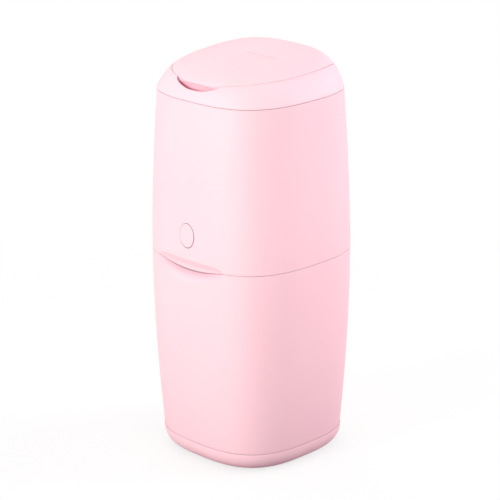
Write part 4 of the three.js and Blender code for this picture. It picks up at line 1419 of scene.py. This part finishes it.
# %% [markdown]
# ## The latch
# The lever hangs from its pivot behind the button and hooks under a keeper on the lower bin.
# A bracket with two ears carries the pivot, and the spring presses the lever forward.

# %% The lever and the keeper
lever_outline = [(-101, 370), (-101, 258.5), (-104.5, 258.5), (-104.5, 255), (-101, 252)]
lever_outline += [(-97, 252), (-97, 370)]
lever = extruded(lever_outline, "X", -8, 8, ease=0.5)
join(lever, knuckle(5, 2, -17.2, 17.2, *LATCH_PIVOT))
stand_in(lever, "latch_lever", "moulded", inner_white)

keeper_outline = [(-116, 236), (-114, 236), (-114, 259), (-106, 259), (-106, 262), (-116, 262)]
keeper = extruded(keeper_outline, "X", -14, 14, ease=0.5)
stand_in(keeper, "latch_keeper", "moulded", inner_white)

# %% The bracket
bracket = block((-20, -86, 312), (20, -83.5, 380), ease=0.5)
holes = bar_along_x(2.1, 24, *LATCH_PIVOT)
for way in (-1, 1):
    cheek = sorted((17.5 * way, 20 * way))
    ear = sorted((17.5 * way, 33 * way))
    join(bracket, block((cheek[0], -109.7, 350), (cheek[1], -83.5, 380), ease=0.5))
    join(bracket, block((ear[0], -109.7, 356), (ear[1], -107.2, 376), ease=0.5))
    screw_at = (BRACKET_SCREW_AT * way, -111, BRACKET_SCREW_Z)
    join(holes, placed(bar(2, 6), turn=(-90, 0, 0), at=screw_at))
bracket = cut_from(bracket, holes)
join(bracket, placed(bar(2.2, 5), turn=(-90, 0, 0), at=(0, -89.5, BUTTON_Z)))
stand_in(bracket, "latch_bracket", "moulded", inner_white)

# %% [markdown]
# ## The film cutter
# A block on the right wall leads the film down a tapered throat to a thin blade, which stands
# in a slot with its edge up. The blade is below the throat's lips, out of a finger's reach.

# %% The film cutter
housing_outline = [(104, 248), (107, 245), (115.8, 245), (115.8, 272), (114.5, 272), (111.4, 254)]
housing_outline += [(111.4, 246.5), (110, 246.5), (110, 254), (106.5, 270), (104, 266)]
housing = extruded(housing_outline, "Y", -14, 14, ease=0.3)
stand_in(housing, "film_cutter_housing", "moulded", inner_white)

blade_outline = [(110.4, 246.9), (111, 246.9), (111, 254.6), (110.7, 256), (110.4, 254.6)]
blade = extruded(blade_outline, "Y", -12, 12, ease=0)
stand_in(blade, "film_cutter_blade", "ground", steel, sharp=10)

# %% [markdown]
# ## The cassette's tray
# The tray is one moulding that changes from a round throat to the soft square of the body.
# Rings can do that: the first ones are circles and the last are soft squares.

# %% The cassette's tray
TRAY_LOW, TRAY_HIGH = 436.7, 439.7
tray_edge = half_width(TRAY_HIGH) - WALL - 0.5
round_line = [
    (60.3, 428.7),
    (60, 429),
    (60, TRAY_HIGH - 0.5),
    (60.5, TRAY_HIGH),
    (72, TRAY_HIGH),
    (84.6, TRAY_HIGH),
    (85, TRAY_HIGH + 0.4),
    (85, 451.3),
    (85.4, 451.7),
    (87.1, 451.7),
    (87.5, 451.3),
    (87.5, TRAY_HIGH + 0.5),
    (88, TRAY_HIGH),
]
under_line = [(63, TRAY_LOW), (62.5, TRAY_LOW - 0.5), (62.5, 429), (62.2, 428.7)]
rings = [at_height(mouth(radius), z) for radius, z in round_line]
rings += [
    soft_square(tray_edge - 0.4, TRAY_HIGH),
    soft_square(tray_edge, TRAY_HIGH - 0.4),
    soft_square(tray_edge, TRAY_LOW + 0.4),
    soft_square(tray_edge - 0.4, TRAY_LOW),
]
rings += [at_height(mouth(radius), z) for radius, z in under_line]
tray = lofted(rings, 256)
screw_holes = bmesh.new()
for x, y, _ in corners(POST_AT):
    join(screw_holes, placed(bar(2, 8, ease=0.1, steps=24), at=(x, y, TRAY_LOW - 2)))
tray = cut_from(tray, screw_holes)
for x, y, _ in corners(*CLAMP_POST):
    join(tray, placed(screw_boss(5, 42, steps=40), at=(x, y, 395.3)))
stand_in(tray, "cassette_tray", "moulded", inner_white)

# %% [markdown]
# ## The cassette
# The cassette is a ring-shaped trough with a flat cover, and the film comes up through the
# slot that the cover leaves round the bore. Three raised rings stiffen the cover.

# %% The cassette
BORE, CASE_RADIUS, CASE_WALL = 62.5, 84.2, 1.8
CASE_LOW, CASE_HIGH = 440, 492
ROUND = 160
case_profile = [
    (BORE + 0.5, CASE_LOW),
    (CASE_RADIUS - 0.8, CASE_LOW),
    (CASE_RADIUS, CASE_LOW + 0.8),
    (CASE_RADIUS, CASE_HIGH - 4),
    (CASE_RADIUS - 0.4, CASE_HIGH - 3.6),
    (CASE_RADIUS - 0.4, CASE_HIGH - 2),
    (CASE_RADIUS, CASE_HIGH - 1.6),
    (CASE_RADIUS, CASE_HIGH - 0.3),
    (CASE_RADIUS - 0.3, CASE_HIGH),
    (CASE_RADIUS - CASE_WALL + 0.3, CASE_HIGH),
    (CASE_RADIUS - CASE_WALL, CASE_HIGH - 0.3),
    (CASE_RADIUS - CASE_WALL, CASE_LOW + CASE_WALL + 1),
    (CASE_RADIUS - CASE_WALL - 1, CASE_LOW + CASE_WALL),
    (BORE + CASE_WALL + 1, CASE_LOW + CASE_WALL),
    (BORE + CASE_WALL, CASE_LOW + CASE_WALL + 1),
    (BORE + CASE_WALL, CASE_HIGH - 0.5),
    (BORE + CASE_WALL - 0.5, CASE_HIGH),
    (BORE + 0.5, CASE_HIGH),
    (BORE, CASE_HIGH - 0.5),
    (BORE, CASE_LOW + 0.5),
]
case = turned(case_profile, ROUND)
stand_in(case, "cassette_case", "moulded", cassette_plastic)

COVER_LOW, COVER_HIGH = 492.3, 494.3
cover_profile = [(66.8, COVER_LOW), (84.4, COVER_LOW), (84.8, COVER_LOW + 0.4)]
cover_profile += [(84.8, COVER_HIGH - 0.5), (84.3, COVER_HIGH)]
for ridge in (82.6, 76, 69.4):
    flat = COVER_HIGH - 0.5
    cover_profile += [(ridge + 0.7, COVER_HIGH), (ridge + 0.3, flat)]
    cover_profile += [(ridge - 0.9, flat), (ridge - 1.3, COVER_HIGH)]
cover_profile += [(66.9, COVER_HIGH), (66.5, COVER_HIGH - 0.4), (66.5, COVER_LOW + 0.3)]
cover = turned(cover_profile, ROUND)
stand_in(cover, "cassette_cover", "moulded", cassette_plastic)

# %% [markdown]
# ## The packed film
# Metres of film lie in the trough in fine pleats, like a pressed bellows. Each pleat is two
# rings inside and two outside. They wander up and down by less than a millimetre, as folded
# film is never quite even: two waves round the ring, a slow one and a quick one, whose start
# moves on from fold to fold. Both die out at the top and the bottom, which lie flat.

# %% The packed film
FILM_LOW, FILM_HIGH = 442.4, 488
FILM_INSIDE, FILM_OUTSIDE = 65.1, 81.6
FOLD_IN = 1.1
PLEATS = 26
# Height in mm, waves round the ring, and how far the start moves on from fold to fold.
WAVES = ((0.45, 5, 1.7), (0.25, 13, 2.9))
FLAT_ENDS = 6


def pleat_ring(radius, z, index):
    """One fold of the film, a little uneven."""

    def ring(angle):
        share = min(1, min(z - FILM_LOW, FILM_HIGH - z) / FLAT_ENDS)
        wander = 0
        for height, count, shift in WAVES:
            wander += height * share * math.sin(count * angle + shift * index)
        return (radius * math.cos(angle), radius * math.sin(angle), z + wander)

    return ring


pleat = (FILM_HIGH - FILM_LOW) / PLEATS
folds = []
for i in range(PLEATS):
    z = FILM_LOW + pleat * i
    folds.append(pleat_ring(FILM_OUTSIDE - FOLD_IN, z, i))
    folds.append(pleat_ring(FILM_OUTSIDE, z + pleat / 2, i))
folds.append(pleat_ring(FILM_OUTSIDE - FOLD_IN, FILM_HIGH, PLEATS))
folds.append(pleat_ring((FILM_INSIDE + FILM_OUTSIDE) / 2, FILM_HIGH, PLEATS))
for i in reversed(range(PLEATS)):
    z = FILM_LOW + pleat * i
    folds.append(pleat_ring(FILM_INSIDE + FOLD_IN, z + pleat, i))
    folds.append(pleat_ring(FILM_INSIDE, z + pleat / 2, i))
folds.append(pleat_ring(FILM_INSIDE + FOLD_IN, FILM_LOW, 0))
packed_film = lofted(folds, 144)
stand_in(packed_film, "film_pleats", "folded", film, sharp=80)

# %% [markdown]
# ## The clamp
# Under the cassette, two sprung jaws slide on two rods and hold the film shut. The frame is a
# flat plate with a square way through it, lugs for the rods and a wall behind each spring.

# %% The clamp's frame
FRAME_LOW, FRAME_HIGH = 392, 395
SPIGOT = (2.4, 5)


def frame_ring(half_x, half_y, z):
    """A ring with nearly square corners."""
    return lambda angle: (*oval(half_x, half_y, 8, angle), z)


upward = [(FRAME_LOW, 0.4), (FRAME_LOW + 0.4, 0), (FRAME_HIGH - 0.4, 0), (FRAME_HIGH, 0.4)]
plate_rings = [frame_ring(88 - inset, 66 - inset, z) for z, inset in upward]
plate_rings += [frame_ring(42 + inset, 39 + inset, z) for z, inset in reversed(upward)]
clamp_frame = lofted(plate_rings, 192)
lugs = bmesh.new()
for way in (-1, 1):
    for y in (-ROD_Y, ROD_Y):
        x0, x1 = sorted((80 * way, 84 * way))
        join(lugs, block((x0, y - 5.5, FRAME_HIGH - 1), (x1, y + 5.5, 410), ease=0.5))


def rod_ways():
    """Cutters for the two bores that the rods pass through."""
    ways = [bar_along_x(ROD_RADIUS + 0.1, 90, y, ROD_Z) for y in (-ROD_Y, ROD_Y)]
    return join(*ways)


join(clamp_frame, cut_from(lugs, rod_ways()))
for way in (-1, 1):
    x0, x1 = sorted((82 * way, 85 * way))
    join(clamp_frame, block((x0, -12, FRAME_HIGH - 1), (x1, 12, 416), ease=0.5))
    spigot = placed(bar(*SPIGOT), turn=(0, 90 * way, 0), at=(79 * way, 0, JAW_SPRING_Z))
    join(clamp_frame, spigot)
stand_in(clamp_frame, "clamp_frame", "moulded", inner_white)

# %% [markdown]
# ## The jaws
# A jaw's top slopes to the middle, so that a falling nappy pushes the jaws apart. A rubber
# strip with fine ridges grips the film.

# %% The jaws
RIDGES, RIDGE_PITCH = 6, 1.5
jaw_outline = [(3.1, 398), (34, 398), (34, 417), (30, 417), (11.1, 411), (3.1, 408.5)]
pad_outline = [(2.9, 408), (2.9, 399)]
for i in range(RIDGES):
    z = 399 + RIDGE_PITCH * i
    pad_outline += [(0.25, z + 0.2), (0.25, z + 0.9), (0.7, z + 1.2)]
for way, side in ((1, "right"), (-1, "left")):
    jaw = extruded(jaw_outline, "Y", -52, 52, ease=0.6)
    jaw = cut_from(jaw, rod_ways())
    join(jaw, placed(bar(*SPIGOT), turn=(0, 90, 0), at=(33, 0, JAW_SPRING_Z)))
    pad = extruded(pad_outline, "Y", -42, 42, ease=0)
    if way < 0:
        placed(jaw, turn=(0, 0, 180))
        placed(pad, turn=(0, 0, 180))
    stand_in(jaw, f"clamp_jaw_{side}", "moulded", inner_white)
    stand_in(pad, f"jaw_pad_{side}", "ridged", grey_rubber, sharp=25)

left_over = sorted(set(BODY_OF) - {name for piece in made for name in piece["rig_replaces"]})
print("nodes without a finished piece:", left_over)

# %% [markdown]
# ## The studio floor
# The photo has a white ground. A floor of 28 m is wide enough that no view sees its edge. It
# lies a hair under the feet, because two faces in the same plane would flicker.

# %% The studio floor
FLOOR_HALF, FLOOR_DROP = 14, 0.0004
floor_mesh = bmesh.new()
bmesh.ops.create_grid(floor_mesh, x_segments=2, y_segments=2, size=FLOOR_HALF)
mesh = bpy.data.meshes.new("studio_floor")
floor_mesh.to_mesh(mesh)
floor_mesh.free()
floor = bpy.data.objects.new("studio_floor", mesh)
floor.location.z = -FLOOR_DROP
scene.collection.objects.link(floor)
print("floor:", 2 * FLOOR_HALF, "m to a side,", FLOOR_DROP, "m under the feet")

# %% [markdown]
# ## What a ray sees
# The floor has to be white in the picture and yet throw little light on the bin. The Light
# Path node tells the two apart: it says whether a ray comes from the camera, a reflection or
# a clear piece, or is light on its way. These helpers build such choices out of nodes.


# %% What a ray sees
def seen_directly(tree):
    """1 for rays that come from the camera, a reflection or a clear piece."""
    rays = tree.nodes.new("ShaderNodeLightPath")
    share = rays.outputs["Is Camera Ray"]
    for kind in ("Is Glossy Ray", "Is Transmission Ray"):
        either = tree.nodes.new("ShaderNodeMath")
        either.operation = "MAXIMUM"
        tree.links.new(share, either.inputs[0])
        tree.links.new(rays.outputs[kind], either.inputs[1])
        share = either.outputs[0]
    return share


def mixed(tree, share, first, second):
    """A mix of two shaders."""
    mix = tree.nodes.new("ShaderNodeMixShader")
    tree.links.new(share, mix.inputs["Fac"])
    tree.links.new(first, mix.inputs[1])
    tree.links.new(second, mix.inputs[2])
    return mix.outputs[0]


def plain(tree, kind, colour, strength=None):
    """A plain shader in one colour, or in the colour of a socket."""
    shader = tree.nodes.new(kind)
    if isinstance(colour, tuple):
        shader.inputs["Color"].default_value = colour
    else:
        tree.links.new(colour, shader.inputs["Color"])
    if strength is not None:
        shader.inputs["Strength"].default_value = strength
    return shader.outputs[0]


def near_bin(tree):
    """A share that is 1 under the bin and fades to nothing a metre away."""
    place = tree.nodes.new("ShaderNodeTexCoord")
    fall_off = tree.nodes.new("ShaderNodeTexGradient")
    fall_off.gradient_type = "SPHERICAL"
    tree.links.new(place.outputs["Object"], fall_off.inputs["Vector"])
    return fall_off.outputs["Fac"]


def from_to(tree, share, kind, start, end):
    """A number or a colour that goes over from one value to another by a share."""
    first, second, result = mix_node(tree, kind, share)
    first.default_value = start
    second.default_value = end
    return result


# %% [markdown]
# ## The floor's material
# To the camera, the floor is white that shines by itself, with a share of lit white near the
# bin, which keeps a faint shadow. To the light it is dark near the bin, a painted shadow,
# because the foot is the darkest part of the photo, and lighter further off, as white paper is
# that runs on out of the picture. From below it is clear, so that the underside can be looked
# at.

# %% The floor's material
WHITE = (1, 1, 1, 1)
FAR_FLOOR, NEAR_FLOOR_SHADOW = (0.6, 0.6, 0.6, 1), (0.14, 0.1, 0.14, 1)
SHADOW_SHARE = 0.3

floor_material = bpy.data.materials.new("studio_floor")
floor_material.use_nodes = True
tree = floor_material.node_tree
tree.nodes.clear()
output = tree.nodes.new("ShaderNodeOutputMaterial")
geometry = tree.nodes.new("ShaderNodeNewGeometry")
white = plain(tree, "ShaderNodeEmission", WHITE, 1.0)
lit = plain(tree, "ShaderNodeBsdfDiffuse", WHITE)
near = near_bin(tree)
# Painted shadow for the light: the floor is darker near the bin.
thrown_back = from_to(tree, near, "RGBA", FAR_FLOOR, NEAR_FLOOR_SHADOW)
dim = plain(tree, "ShaderNodeBsdfDiffuse", thrown_back)
clear = tree.nodes.new("ShaderNodeBsdfTransparent").outputs[0]
to_camera = mixed(tree, from_to(tree, near, "FLOAT", 0.0, SHADOW_SHARE), white, lit)
from_above = mixed(tree, seen_directly(tree), dim, to_camera)
whole = mixed(tree, geometry.outputs["Backfacing"], from_above, clear)
tree.links.new(whole, output.inputs["Surface"])
floor.data.materials.append(floor_material)
print("the floor throws back", NEAR_FLOOR_SHADOW[0], "of the light beside the bin")

# %% [markdown]
# ## Lamps
# A large lamp close to the subject gives soft light. How bright each part of the photo is says
# where its lamps stood: the front face is even and the lightest, the corner is darker, and the
# right face grows lighter to its far edge. So one lamp stands in front, a weak one near the
# camera, one at the right rear, one behind on the left and a weak one overhead for the dome.
# Each lamp was rendered alone, and their powers and slight tints are the mix that comes
# closest to the photo. The photo's foot is darker than its middle, so the low lamps have a
# narrow spread, as under a softbox with a grid.

# %% Lamps
LAMP_DISTANCE = 2.2
LAMP_SIZE = 1.2


def softbox(name, azimuth, elevation, power, aim=0.42, spread=180, colour=(1, 1, 1)):
    """A square lamp turned to a height of the bin, from an angle round it and an angle up."""
    lamp = bpy.data.lights.new(name, "AREA")
    lamp.color = colour
    lamp.shape = "SQUARE"
    lamp.size = LAMP_SIZE
    lamp.energy = power
    lamp.spread = math.radians(spread)
    turn, rise = math.radians(azimuth), math.radians(elevation)
    level = math.cos(rise)
    way = Vector((math.sin(turn) * level, -math.cos(turn) * level, math.sin(rise)))
    holder = bpy.data.objects.new(name, lamp)
    holder.location = Vector((0, 0, aim)) + way * LAMP_DISTANCE
    holder.rotation_euler = (-way).to_track_quat("-Z", "Y").to_euler()
    scene.collection.objects.link(holder)
    print(f"{name}: {azimuth} degrees round, {elevation} up, {power} watts")


softbox("key_front", -10, 8, 2.65, aim=0.4, spread=25, colour=(1, 1, 0.94))
softbox("near_camera", 45, 8, 0.65, spread=30)
softbox("right_rear", 142, 16, 2.6, aim=0.46, spread=35, colour=(1, 0.93, 0.99))
softbox("left_rear", -120, 40, 4, aim=0.3)
softbox("overhead", 0, 75, 0.7, aim=0.5)

# %% [markdown]
# ## The light all round
# White walls send some light from every side, and the world stands for them. Its light is a
# touch below full strength, so that the pale pink doesn't clip, while the camera sees the
# world as plain white. The Standard view shows colours as they are written.

# %% The light all round
AMBIENT, AMBIENT_STRENGTH = (1, 1, 0.985, 1), 0.79
world = bpy.data.worlds.new("studio")
world.use_nodes = True
scene.world = world
tree = world.node_tree
tree.nodes.clear()
output = tree.nodes.new("ShaderNodeOutputWorld")
ambient = plain(tree, "ShaderNodeBackground", AMBIENT, AMBIENT_STRENGTH)
backdrop = plain(tree, "ShaderNodeBackground", WHITE, 1.0)
whole = mixed(tree, seen_directly(tree), ambient, backdrop)
tree.links.new(whole, output.inputs["Surface"])
scene.view_settings.view_transform = "Standard"
print("light from all round at strength", AMBIENT_STRENGTH)
